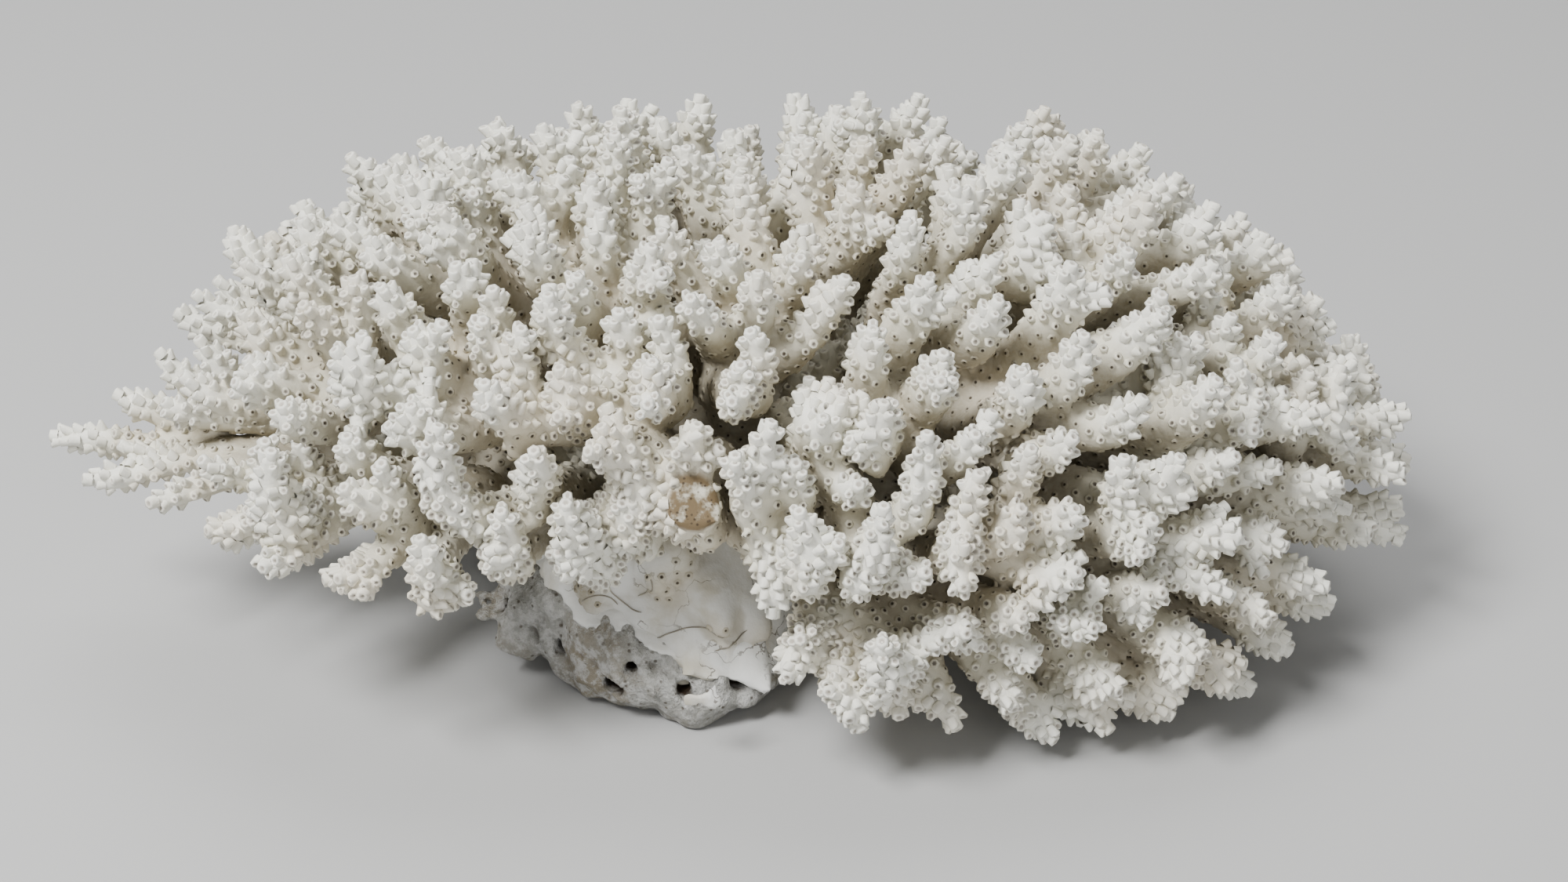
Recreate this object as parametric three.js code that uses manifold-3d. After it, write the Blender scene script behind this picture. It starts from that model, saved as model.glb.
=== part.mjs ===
// A bleached colony of corymbose stony coral (Acropora) on the stone that it grew on.
//
// The colony is a wide low dome. A fused trunk sits on the stone, and main limbs leave it in every
// direction that has light. Each limb forks into a cluster of blunt fingers, whose tips end on the dome.
// Millimetres, +Z up. The origin is the centre of the flat cut under the stone, the front is -Y.

import * as THREE from "three";
import { mergeVertices } from "three/addons/utils/BufferGeometryUtils.js";
import Module from "manifold-3d";

// ---------------------------------------------------------------- driving dimensions

// The dome that the finger tips end on: its centre and its half sizes.
const DOME_CENTRE = new THREE.Vector3(16, 6, 34);
const DOME_HALF_WIDTH = 139;
const DOME_FRONT = 80;
const DOME_BACK = 84;
const DOME_RISE = 71;
const DOME_DROP = 48;

// The fused trunk inside it, from which the limbs leave.
const TRUNK_CENTRE = new THREE.Vector3(16, 12, 35);
const TRUNK_HALF = new THREE.Vector3(82, 41, 24);

// The stone under the trunk, cut flat where it was taken from the reef.
const STONE_HALF_WIDTH = 31;
const STONE_HALF_DEPTH = 42;
const STONE_LEFT_HEIGHT = 33;
const STONE_RIGHT_HEIGHT = 15;
const STONE_LEAN = 9; // how far its front lies to the right of its middle
const STONE_SIDES = 14;
// Its outline from the cut up: [share of the height, share of the half width].
const STONE_STEPS = [
  [0, 0],
  [0, 0.9],
  [0.25, 1.04],
  [0.55, 1.0],
  [0.82, 0.86],
  [1, 0.6],
  [1.04, 0],
];

// The crust that the trunk spreads over the stone: [height, radius], then tilted down to the right.
const CRUST_SLOPE = 9;
const CRUST_STEPS = [
  [8, 0],
  [8, 27],
  [18, 33.5],
  [30, 32],
  [44, 24],
  [44, 0],
];

const GAP = 0.3; // clearance between a limb and the trunk or stone that it meets
const LIMB_GAP = 0.9; // clearance between limbs that grew past each other
const LIMB_SMOOTHING = 0.5; // how far a limb's facets may move when small ones are merged
const ROOT_SMOOTHING = 0.1; // and after its root is cut to the trunk

// Stems and fingers are tapered tubes: [share of the length, radius].
const STEM_SIDES = 5;
const STEM_STEPS = [
  [0, 0],
  [0, 6.5],
  [1, 6],
  [1, 0],
];
const STEM_SHARE = 0.34; // where a limb forks, as a share of the way to its tips, if its row has none
const FINGER_SIDES = 5;
const FINGER_STEPS = [
  [0, 0],
  [0, 4.6],
  [0.92, 4.2],
  [1, 0],
];
const FINGER_SUNK = 3; // how deep in the fork a finger starts
// The finger that has broken off, with a flat end.
const BROKEN_LIMB = "front_broken_stub";
const BROKEN_STEPS = [
  [0, 0],
  [0, 5.4],
  [1, 5.6],
  [1, 0],
];
const TIP_SPACING = 16.5;
// The lowest that a tip may hang: near the ground on the right, well clear of it on the left.
const LOWEST_TIP_RIGHT = 8;
const LOWEST_TIP_LEFT = 44;


// ---------------------------------------------------------------- limbs
// One row for each main limb: name, the bearing and rise at which it leaves the trunk in degrees, its
// fingers, reach as a share of the dome, and where it forks. Bearing 0 points right, 90 to the back and
// -90 to the front. Fingers are a number, spread round the limb's own direction, or a list with the
// bearing, rise and reach of each, on the front where every finger has a place of its own.
const LIMBS = [
  // The long low arms on the left, and the stout lobes beside them.
  ["left_arm_low", -172, 6, [[-175, 5, 1.02], [-163, 4, 0.99], [-169, 12, 0.95], [-150, 10, 0.96]]],
  ["left_arm_high", -168, 17, [[-178, 16, 0.99], [-176, 26, 1], [-169, 33, 0.98], [-167, 22, 0.95]]],
  ["left_lobe_outer", -148, 14, [[-139, 11, 0.96], [-131, 9, 0.97], [-134, 20, 0.97], [-147, 21, 0.96]]],
  ["left_lobe_middle", -128, 16, [[-123, 11, 0.97], [-124, 24, 0.97], [-129, 32, 0.95], [-116, 12, 0.97]]],
  ["left_lobe_inner", -114, 20, [[-115, 27, 0.96], [-112, 17, 0.94], [-107, 33, 0.96]], 1, 0.45],
  // The front, short above the stone.
  ["front_left_limb", -104, 18, [[-106, 16, 0.97], [-104, 25, 0.97], [-98, 27, 0.9]], 1, 0.5],
  ["front_broken_stub", -95, 18, [[-92, 27, 0.88]], 1, 0.5],
  ["front_short_limb", -95, 34, [[-102, 38, 0.95], [-91, 37, 0.95]], 1, 0.8],
  ["front_middle_limb", -88, 58, 4, 0.98],
  ["front_hanging_limb", -86, 30, [[-85, 4, 1], [-81, 22, 1], [-88, 34, 1]], 1, 0.8],
  ["front_drop_limb", -78, 44, [[-77, 30, 0.95], [-79, 43, 0.95]], 1, 0.8],
  ["front_right_limb", -75, 22, [[-78, 19, 0.97], [-73, 16, 0.97], [-72, 28, 0.95]], 1, 0.6],
  // The skirt that hangs to the right of the stone.
  ["skirt_limb_1", -75, -12, [[-84, -9, 0.98], [-79, -17, 0.98], [-74, -5, 0.98]]],
  ["skirt_limb_2", -68, -18, [[-74, -20, 0.97], [-68, -26, 0.98], [-70, 4, 0.98]]],
  ["skirt_limb_3", -61, -20, [[-64, -17, 0.98], [-58, -30, 1], [-63, -4, 0.98], [-66, 8, 1]]],
  ["skirt_limb_4", -52, -20, [[-53, -28, 1], [-56, -13, 1], [-46, -28, 1], [-59, 3, 1]]],
  ["skirt_limb_5", -42, -16, [[-45, -17, 1.02], [-38, -25, 1.02], [-50, -7, 1.02], [-53, 7, 1]]],
  ["skirt_limb_6", -28, -10, [[-33, -19, 1], [-22, -17, 1], [-42, -4, 1], [-29, -6, 1]]],
  // The rim from the front right round to the back left.
  ["rim_limb_front_right_1", -63, 8, [[-64, 23, 1], [-70, 20, 0.99], [-61, 14, 1], [-58, 22, 0.97]]],
  ["rim_limb_front_right_2", -48, 8, [[-53, 19, 1], [-43, 13, 1], [-48, 26, 1], [-46, 4, 1]]],
  ["rim_limb_right_1", -24, 5, 5, 1.0],
  ["rim_limb_right_2", -3, 2, 5, 1.02],
  ["rim_limb_right_3", 19, 4, 5, 1.0],
  ["rim_limb_back_1", 44, 2, 5, 1.0],
  ["rim_limb_back_2", 70, 0, 5, 1.0],
  ["rim_limb_back_3", 96, 2, 5, 1.0],
  ["rim_limb_back_4", 122, 0, 5, 1.0],
  ["rim_limb_back_5", 149, 3, 5, 1.0],
  // The back of the skirt.
  ["under_limb_right", 24, -24, 4, 0.96],
  ["under_limb_back_1", 58, -26, 4, 0.96],
  ["under_limb_back_2", 90, -26, 4, 0.96],
  ["under_limb_back_3", 124, -25, 4, 0.96],
  // The shoulder.
  ["shoulder_limb_left_1", 176, 42, 6, 1.0],
  ["shoulder_limb_left_2", -152, 44, 6, 1.0],
  ["shoulder_limb_front_1", -129, 47, 6, 0.99],
  ["shoulder_limb_front_2", -106, 50, 5, 1.0],
  ["shoulder_limb_front_3", -66, 44, 5, 1.0],
  ["shoulder_limb_front_4", -51, 37, 6, 1.0],
  ["shoulder_limb_right_1", -33, 27, 6, 1.0],
  ["shoulder_limb_right_2", -12, 29, 6, 1.0],
  ["shoulder_limb_right_3", 15, 30, 6, 0.99],
  ["shoulder_limb_back_1", 43, 30, 5, 1.0],
  ["shoulder_limb_back_2", 71, 29, 5, 1.0],
  ["shoulder_limb_back_3", 99, 30, 5, 1.0],
  ["shoulder_limb_back_4", 127, 29, 5, 1.0],
  ["shoulder_limb_back_5", 153, 28, 5, 0.97],
  // The crown.
  ["crown_limb_left", -170, 62, 6, 0.99],
  ["crown_limb_front_1", -121, 65, 5, 1.0],
  ["crown_limb_front_2", -84, 66, 5, 1.01],
  ["crown_limb_front_3", -47, 58, 6, 1.0],
  ["crown_limb_right", -12, 54, 6, 1.02],
  ["crown_limb_back_1", 25, 55, 6, 1.03],
  ["crown_limb_back_2", 66, 58, 6, 1.03],
  ["crown_limb_back_3", 108, 58, 6, 1.01],
  ["crown_limb_back_4", 148, 57, 6, 1.0],
  ["crown_limb_top_left", -178, 77, 5, 0.99],
  ["crown_limb_top_back", 86, 74, 5, 0.95],
  ["crown_limb_top_right", 8, 79, 5, 1.0],
];

// ---------------------------------------------------------------- small helpers

const vec = (x, y, z) => new THREE.Vector3(x, y, z);
const radians = THREE.MathUtils.degToRad;

// A repeatable stream of numbers from 0 to 1.
function numbersFrom(seed) {
  let state = seed >>> 0;
  return () => {
    state = (state + 0x6d2b79f5) >>> 0;
    let t = state;
    t = Math.imul(t ^ (t >>> 15), t | 1);
    t ^= t + Math.imul(t ^ (t >>> 7), t | 61);
    return ((t ^ (t >>> 14)) >>> 0) / 4294967296;
  };
}

// 1 in the middle of a patch of directions, falling to 0 at its edge. Angles in degrees.
function patch(bearing, rise, atBearing, atRise, halfBearing, halfRise) {
  const turn = ((bearing - atBearing + 540) % 360) - 180;
  const d = Math.hypot(turn / halfBearing, (rise - atRise) / halfRise);
  return d >= 1 ? 0 : (1 - d * d) ** 2;
}

// ---------------------------------------------------------------- the dome

const domeHalf = (q) =>
  vec(
    DOME_HALF_WIDTH,
    q.y < 0 ? DOME_FRONT : DOME_BACK,
    q.z < 0 ? DOME_DROP : DOME_RISE,
  );

// How far the dome stands out in one direction, as a share of the plain ellipsoid: it swells a little
// here and there, is hollow at the front above the stone and low on the left shoulder, and has full
// flanks on both sides of the crown.
function domeShare(unit) {
  const bearing = THREE.MathUtils.radToDeg(Math.atan2(unit.y, unit.x));
  const rise = THREE.MathUtils.radToDeg(Math.asin(unit.z));
  const hollow = 0.36 * patch(bearing, rise, -98, 4, 26, 30);
  const leftShoulder = 0.06 * patch(bearing, rise, 178, 32, 44, 32);
  const leftFlank = 0.045 * patch(bearing, rise, 150, 60, 55, 28);
  const rightFlank = 0.075 * patch(bearing, rise, 30, 42, 55, 36);
  const swell = 0.02 * Math.sin(3.1 * unit.x * 2 + 4 * unit.y) + 0.02 * Math.sin(5 * unit.z - 3 * unit.x);
  return 1 - hollow - leftShoulder + leftFlank + rightFlank + swell;
}

const domeUnit = (bearing, rise) =>
  vec(
    Math.cos(rise) * Math.cos(bearing),
    Math.cos(rise) * Math.sin(bearing),
    Math.sin(rise),
  );

// The point of the dome in a unit direction of its stretched sphere.
const domePoint = (unit, share = 1) =>
  unit
    .clone()
    .multiply(domeHalf(unit))
    .multiplyScalar(domeShare(unit) * share)
    .add(DOME_CENTRE);

// Any point's own direction in that sphere.
function domeDirection(point) {
  const q = point.clone().sub(DOME_CENTRE);
  return q.divide(domeHalf(q)).normalize();
}

// The way a finger points where it meets the dome.
function domeNormal(point) {
  const q = point.clone().sub(DOME_CENTRE);
  const half = domeHalf(q);
  return q.divide(half).divide(half).normalize();
}

// ---------------------------------------------------------------- finger tips

// The tips that have a place of their own.
function placedTips(limb, fingers) {
  return fingers.map(([bearing, rise, height]) => {
    const point = domePoint(domeUnit(radians(bearing), radians(rise)), height);
    return { limb, height, hang: 1, placed: true, point, home: point.clone() };
  });
}

// A sunflower of tips round a limb's axis.
function spreadOut(limb, [, bearing, rise, fingers, reach]) {
  const random = numbersFrom(101 + 7 * limb);
  const centre = domePoint(domeUnit(radians(bearing), radians(rise)), reach);
  const normal = domeNormal(centre);
  const side = vec(-normal.y, normal.x, 0).normalize();
  const up = normal.clone().cross(side);
  const start = random() * 2 * Math.PI;
  return Array.from({ length: fingers }, (_, k) => {
    const radius = TIP_SPACING * 1.09 * Math.sqrt((k + 0.4) / fingers);
    const angle = start + k * 2.39996;
    const point = centre
      .clone()
      .addScaledVector(side, radius * Math.cos(angle))
      .addScaledVector(up, radius * Math.sin(angle));
    const height = reach * (0.955 + 0.09 * random());
    const hang = 0.8 + 0.4 * random();
    const home = domePoint(domeDirection(point), height);
    return { limb, height, hang, placed: false, point: home.clone(), home };
  });
}

const firstTips = () =>
  LIMBS.flatMap((row, limb) =>
    Array.isArray(row[3]) ? placedTips(limb, row[3]) : spreadOut(limb, row),
  );

function lowestTip(x) {
  const leftwards = THREE.MathUtils.smoothstep(-x, -48, 12);
  return THREE.MathUtils.lerp(LOWEST_TIP_RIGHT, LOWEST_TIP_LEFT, leftwards);
}

// Tips push each other apart along the dome until they stand a finger's spacing from each other, and
// each is drawn back a little to where it began. Those with a place of their own stay.
function spreadTips(tips) {
  const rounds = 60;
  const push = 0.35;
  const pull = 0.05;
  for (let round = 0; round < rounds; round += 1) {
    const moves = tips.map((tip) => tip.home.clone().sub(tip.point).multiplyScalar(pull));
    tips.forEach((a, i) => {
      tips.slice(i + 1).forEach((b, j) => {
        const between = a.point.clone().sub(b.point);
        const distance = between.length();
        if (distance >= TIP_SPACING) return;
        between.multiplyScalar((push * (TIP_SPACING - distance)) / distance);
        moves[i].add(between);
        moves[i + 1 + j].sub(between);
      });
    });
    tips.forEach((tip, i) => {
      if (!tip.placed) tip.point = domePoint(domeDirection(tip.point.add(moves[i])), tip.height);
      tip.point.z = Math.max(tip.point.z, lowestTip(tip.point.x) * tip.hang);
    });
  }
  return tips;
}

// ---------------------------------------------------------------- solids

const wasm = await Module();
wasm.setup();

// A three.js geometry as a manifold-3d solid.
function solidOf(geometry) {
  const plain = geometry.clone();
  plain.deleteAttribute("normal");
  plain.deleteAttribute("uv");
  const merged = mergeVertices(plain, 1e-3);
  const index = merged.index.array;
  const triVerts = [];
  for (let i = 0; i < index.length; i += 3) {
    const [a, b, c] = [index[i], index[i + 1], index[i + 2]];
    if (a !== b && b !== c && c !== a) triVerts.push(a, b, c);
  }
  return new wasm.Manifold(
    new wasm.Mesh({
      numProp: 3,
      vertProperties: merged.attributes.position.array,
      triVerts: new Uint32Array(triVerts),
    }),
  );
}

// The solid's surface as a three.js geometry.
function geometryOf(solid) {
  const mesh = solid.getMesh();
  const geometry = new THREE.BufferGeometry();
  geometry.setAttribute("position", new THREE.BufferAttribute(mesh.vertProperties, 3));
  geometry.setIndex(new THREE.BufferAttribute(mesh.triVerts, 1));
  const flat = geometry.toNonIndexed();
  flat.computeVertexNormals();
  return flat;
}

// A tapered tube from one point to another: a lathe turned from [share of the length, radius] steps.
// grow makes it larger all round, for cutting its neighbours.
function taperedTube(from, to, steps, sides, twist, grow) {
  const length = from.distanceTo(to);
  const profile = steps.map(([share, radius]) => {
    const past = share === 0 ? -grow : share === 1 ? grow : 0;
    return new THREE.Vector2(radius > 0 ? radius + grow : 0, share * length + past);
  });
  const lathe = new THREE.LatheGeometry(profile, sides, twist);
  const along = to.clone().sub(from).normalize();
  lathe.applyQuaternion(new THREE.Quaternion().setFromUnitVectors(vec(0, 1, 0), along));
  lathe.translate(from.x, from.y, from.z);
  return solidOf(lathe);
}

// An ellipsoid turned on a lathe round X, the long way of the trunk.
function ellipsoid(centre, half, rings, sides) {
  const profile = [];
  for (let i = 0; i <= rings; i += 1) {
    const angle = -Math.PI / 2 + (Math.PI * i) / rings;
    const onAxis = i === 0 || i === rings;
    profile.push(new THREE.Vector2(onAxis ? 0 : Math.cos(angle), Math.sin(angle)));
  }
  const geometry = new THREE.LatheGeometry(profile, sides);
  geometry.rotateZ(-Math.PI / 2);
  geometry.scale(half.x, half.y, half.z);
  geometry.translate(centre.x, centre.y, centre.z);
  return solidOf(geometry);
}

// ---------------------------------------------------------------- the stone

// A lump turned on a lathe, then pushed in and out round its outline, with a top that falls from left
// to right and a flat cut underneath. grow makes it larger all round, for cutting its neighbours.
function stoneSolid(grow) {
  const profile = STONE_STEPS.map(([height, radius]) => new THREE.Vector2(radius, height));
  const lathe = new THREE.LatheGeometry(profile, STONE_SIDES);
  lathe.rotateX(Math.PI / 2);
  const position = lathe.attributes.position;
  for (let i = 0; i < position.count; i += 1) {
    const [x, y, height] = [position.getX(i), position.getY(i), position.getZ(i)];
    const radius = Math.hypot(x, y);
    if (radius < 1e-6) {
      position.setZ(i, height > 0 ? height * stoneTop(0) + grow : -grow);
      continue;
    }
    const round = Math.atan2(y, x);
    const lump = 1 + 0.06 * Math.sin(3 * round + 4 * height) + 0.05 * Math.sin(5 * round + 1);
    const out = 1 + grow / (radius * STONE_HALF_WIDTH);
    position.setXYZ(
      i,
      (x * STONE_HALF_WIDTH - y * STONE_LEAN) * lump * out,
      y * STONE_HALF_DEPTH * lump * out,
      height > 0 ? height * stoneTop(x) + grow : -grow,
    );
  }
  return solidOf(lathe);
}

const stoneTop = (x) => THREE.MathUtils.lerp(STONE_LEFT_HEIGHT, STONE_RIGHT_HEIGHT, (x + 1) / 2);

// ---------------------------------------------------------------- the trunk

// The fused mass, with a skirt of crust that runs down over the top of the stone.
function trunkSolid(grow) {
  const mass = ellipsoid(TRUNK_CENTRE, TRUNK_HALF.clone().addScalar(grow), 8, 12);
  const last = CRUST_STEPS.length - 1;
  const profile = CRUST_STEPS.map(([height, radius], i) => {
    const past = i < 2 ? -grow : i > last - 2 ? grow : 0;
    return new THREE.Vector2(radius > 0 ? radius + grow : 0, height + past);
  });
  const crust = new THREE.LatheGeometry(profile, 12);
  crust.rotateX(Math.PI / 2);
  crust.scale(1, 1.15, 1);
  crust.rotateY(radians(CRUST_SLOPE));
  crust.translate(4, 2, 2);
  return mass.add(solidOf(crust));
}

// ---------------------------------------------------------------- a limb

// One limb: its stem, and from the fork a finger to each of its tips.
function limbSolid([name, bearing, rise, , , forkShare = STEM_SHARE], tips, seed, grow) {
  const random = numbersFrom(seed);
  const unit = domeUnit(radians(bearing), radians(rise));
  const root = unit.clone().multiply(TRUNK_HALF).multiplyScalar(0.93).add(TRUNK_CENTRE);
  const middle = tips
    .reduce((sum, tip) => sum.add(tip.point), vec(0, 0, 0))
    .divideScalar(tips.length);
  const fork = root.clone().lerp(middle, forkShare);
  const stem = taperedTube(root, fork, STEM_STEPS, STEM_SIDES, random() * Math.PI, grow);
  const sunk = fork.clone().sub(root).setLength(FINGER_SUNK);
  const start = fork.clone().sub(sunk);
  const steps = name === BROKEN_LIMB ? BROKEN_STEPS : FINGER_STEPS;
  return tips.reduce((limb, tip) => {
    const twist = random() * Math.PI;
    return limb.add(taperedTube(start, tip.point, steps, FINGER_SIDES, twist, grow));
  }, stem);
}

// A solid with the rooms of its neighbours cut from it, and its small facets merged.
const cutBy = (rooms, solid, smoothing) =>
  rooms
    .reduce((left, room) => left.subtract(room), solid)
    .asOriginal()
    .simplify(smoothing);

const largestBody = (solid) =>
  solid.decompose().reduce((a, b) => (b.volume() > a.volume() ? b : a));

// ---------------------------------------------------------------- the colony

const material = (color, roughness) =>
  new THREE.MeshStandardMaterial({ color, roughness, metalness: 0 });

const LIMB_MATERIAL = material(0xe9e6df, 0.8);
const TRUNK_MATERIAL = material(0xcfc5b2, 0.75);
const STONE_MATERIAL = material(0xc4c0b6, 0.95);

function piece(name, solid, look) {
  const mesh = new THREE.Mesh(geometryOf(solid), look);
  mesh.name = name;
  return mesh;
}

const tips = spreadTips(firstTips());
const trunkAndStone = [trunkSolid(GAP), stoneSolid(GAP)];
const earlierLimbs = [];
const limbs = LIMBS.map((row, limb) => {
  const own = tips.filter((tip) => tip.limb === limb);
  const whole = limbSolid(row, own, 900 + limb, 0);
  const beside = cutBy(earlierLimbs, whole, LIMB_SMOOTHING);
  earlierLimbs.push(limbSolid(row, own, 900 + limb, LIMB_GAP).add(whole));
  return piece(row[0], largestBody(cutBy(trunkAndStone, beside, ROOT_SMOOTHING)), LIMB_MATERIAL);
});

const colony = new THREE.Group();
colony.name = "colony";
colony.add(piece("base_stone", stoneSolid(0), STONE_MATERIAL));
colony.add(piece("trunk", trunkSolid(0).subtract(stoneSolid(GAP)), TRUNK_MATERIAL));
colony.add(...limbs);

export default colony;
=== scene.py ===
"""A bleached colony of branching stony coral on the stone that it grew on.

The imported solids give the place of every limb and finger. Here their surface is rounded and fused into
one skeleton, side branchlets are added, and thousands of small tubes (corallites) are grown over it.
The skeleton is then shared out again, one piece for each solid. A thin ragged crust with a few stray
hairs lies over the stone, which is rough and bored. Lengths are in millimetres until the meshes are
written, because the frame is in metres.
"""

import math

import bpy
import numpy as np
import openvdb as vdb
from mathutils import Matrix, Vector
from mathutils.bvhtree import BVHTree
from mathutils.kdtree import KDTree


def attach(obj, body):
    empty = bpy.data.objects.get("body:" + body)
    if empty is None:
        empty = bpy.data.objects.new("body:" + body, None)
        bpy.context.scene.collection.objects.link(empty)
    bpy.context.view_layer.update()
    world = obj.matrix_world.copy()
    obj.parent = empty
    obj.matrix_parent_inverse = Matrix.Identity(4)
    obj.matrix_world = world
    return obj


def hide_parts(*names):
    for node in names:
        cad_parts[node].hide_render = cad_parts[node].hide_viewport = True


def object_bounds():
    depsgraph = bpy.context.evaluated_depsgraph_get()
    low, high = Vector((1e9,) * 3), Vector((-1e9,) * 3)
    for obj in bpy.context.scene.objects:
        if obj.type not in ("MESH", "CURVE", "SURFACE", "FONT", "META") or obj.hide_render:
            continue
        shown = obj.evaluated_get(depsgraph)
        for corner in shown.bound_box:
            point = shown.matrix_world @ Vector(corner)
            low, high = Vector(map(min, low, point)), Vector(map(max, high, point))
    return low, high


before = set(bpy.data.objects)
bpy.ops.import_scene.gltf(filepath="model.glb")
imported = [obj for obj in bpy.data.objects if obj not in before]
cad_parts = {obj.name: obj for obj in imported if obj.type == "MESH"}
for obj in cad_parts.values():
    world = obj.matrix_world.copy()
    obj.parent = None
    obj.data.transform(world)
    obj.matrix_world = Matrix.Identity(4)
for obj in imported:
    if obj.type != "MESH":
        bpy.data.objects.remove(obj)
cad_box = [list(corner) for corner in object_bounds()]

MM = 0.001
VOXEL = 1.6  # cell of the grid that the skeleton is rounded on
STONE_VOXEL = 0.95  # cell of the grids of the stone and the crust
GRID_MARGIN = 14.0  # room round the CAD solids in the skeleton's grid
STONE = "base_stone"
TRUNK = "trunk"
BROKEN_STUB = "front_broken_stub"

# How the blunt tip of a CAD finger is known.
TIP_RING = (4, 7)  # points round it
TIP_RISE = (1.2, 5.0)  # how far it stands out from their middle
TIP_AHEAD = 0.8  # and from each of them at least
TIP_WIDTH = (2.4, 5.6)  # their mean distance from its axis

# Fingers and branchlets.
TIP_RADIUS = 1.9
FINGER_DEPTH = np.array([0.0, 5.0, 12.0, 20.0, 38.0])  # below the tip
FINGER_RADIUS = np.array([1.9, 2.8, 3.5, 4.0, 4.8])
FINGER_ELBOW = 16.0  # below the tip, where a finger that curves up starts to do so
FINGER_STRAIGHT, FINGER_ROOT = 28.8, 7.2  # its length, and that of its root, which turns inwards
FINGER_PLACES = 11
UPTURN = 1.4  # how much the fingers of the crown turn up at their ends
UPTURN_RISE = (6.0, 30.0)  # degrees, seen from the trunk: none below the first, all above the second
HOLLOWING = 5.4  # taken off the limbs all round, between the fingers
HOLLOW_DEPTH = (24.0, 40.0)  # below the tips: all of it above the first, none below the second
BRANCHLET_RADIUS = 2.7
BRANCHLET_END_RADIUS = TIP_RADIUS - 0.1
BRANCHLETS_ON_A_FINGER = (0, 0, 1, 1, 2)
BRANCHLET_TURN = 2.4  # radians round the finger from one to the next
BRANCHLET_DOWN = (8, 17)  # below the tip
BRANCHLET_LEAN = (24, 40)  # degrees from the finger
BRANCHLET_LENGTH = (6, 10)
FUSE = 2.0  # how softly fingers and branchlets run into one another
ARMS_LEFT = -84.0  # the long arms are further left than this: slim, and without branchlets
ARM_SLIM = 0.74
ROUGHNESS = [(0.25, 6.0), (0.1, 3.2)]  # size of each noise, and the size of its lumps

# The broken stub.
STUB_SIDES = 5
STUB_RADIUS = 4.9
STUB_ROOT, STUB_OVER = 22.0, 4.0  # it starts this far behind its CAD end, and is made this much longer
STUB_FACES = (0.1, -0.85, 0.5)  # the break is slanting: it faces forward and up
STUB_ROOM = 16.0  # no branchlets within this of its end
CUT_AHEAD, CUT_LENGTH = 1.0, 8.0  # cut off from this far in front of its CAD end, over this length
CUT_ROOM = 14.0  # nothing is cut further off than this
SECTION_REACH, SECTION_DEPTH = 9.0, 0.9  # the section's points: near the end, and near the cut

# Young fingers, which fill the gaps between the limbs.
YOUNG_TRIES = 30000
YOUNG_SHORTEST, YOUNG_LONGEST = 8.0, 32.0
YOUNG_ROOM = 4.4  # clear all round its axis
YOUNG_FIRST, YOUNG_STEP = 5.0, 1.5  # where along its axis the room is looked at
YOUNG_RADII = (4.0, 3.0)  # at its root, and where its end starts to taper
YOUNG_ROOT, YOUNG_END = 7.0, 9.0
YOUNG_UPTURN, YOUNG_SPREAD = 1.3, 0.22
YOUNG_LOWEST = 14.0  # no tip is lower than this
YOUNG_LEFT = -72.0  # none on the long arms further left than this
DOME_SHARE = 0.95  # how near to the dome of tips they may reach
BARE_BEARINGS, BARE_RISE = (-130.0, -62.0), 9.0  # none in the hollow above the stone
BARE_ROUND_STONE, BARE_HEIGHT = 52.0, 46.0  # nor this near to the stone's middle and this low

# Where the skeleton is moved up or down a little.
SHOULDERS = [(4.0, -32, 26), (5.5, 75, 32)]  # rise, middle in x and half width of each
LOBES_RISE = 7.0  # of the underside of the lobes on the left
SKIRT_DROP = 3.5  # of the skirt on the right
WAVER = 0.8

# The crust on the stone: its thickness, and the height of its edge on the left and on the right. It
# is made twice, coarsely as part of the skeleton and finely as a sheet of its own.
CRUST_THICKNESS = 1.3
CRUST_EDGE_LEFT, CRUST_EDGE_RIGHT = 25.0, 11.0
CRUST_TOP = 38.0
ON_STONE = 5.0  # the skeleton is crust where it is nearer to the stone than this
COARSE_CRUST_UP = 2.0  # the coarse one ends this far above the fine one's edge
# At its edge: the height over which it runs out, how far it goes under, how far below it is cut off.
COARSE_CRUST_LIP, FINE_CRUST_LIP = (3.0, 4.0, 5.0), (1.2, 6.0, 4.0)
COARSE_CRUST_NOISE = [(0.7, 5.5), (0.45, 2.6)]
FINE_CRUST_MORE = 0.7  # the fine one is this much thicker
CRUST_EDGE_NOISE = [(1.5, 6.0), (0.9, 2.6)]
CRUST_NOISE = [(0.85, 6.0), (0.45, 2.8)]
HIDDEN_IN_CORAL, HIDDEN_IN_STONE = 0.8, 1.6  # the fine crust is left out where it is deeper than this
CRUST_CRUMB = 0.02  # loose bits with a smaller share of its points than this are left out

# Knobs on the crust, which hang down over it: bearing in degrees, height, length and radius.
KNOBS = [
    (-76, 46, 13.0, 5.0),
    (-84, 36, 7.0, 3.8),
    (-88, 45, 5.0, 3.4),
    (-68, 28, 7.0, 4.0),
    (-56, 24, 6.0, 3.6),
    (-110, 30, 4.0, 3.6),
    (-124, 38, 6.0, 3.4),
    (160, 33, 7.0, 3.4),
    (95, 34, 8.0, 3.6),
    (70, 30, 6.0, 3.2),
    (40, 28, 7.0, 3.4),
]
KNOB_SEARCH = (16.0, 60.0, 0.5)  # from the stone's axis: where the surface is looked for
KNOB_OUTWARD = 0.85  # they point this much out for 1 down
KNOB_WIDER, KNOB_NARROWER = 0.8, 1.2  # at the foot and at the end
KNOB_FUSE = 2.5
KNOB_REACH = 4.2  # there is no crust this near to a knob's end

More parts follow.
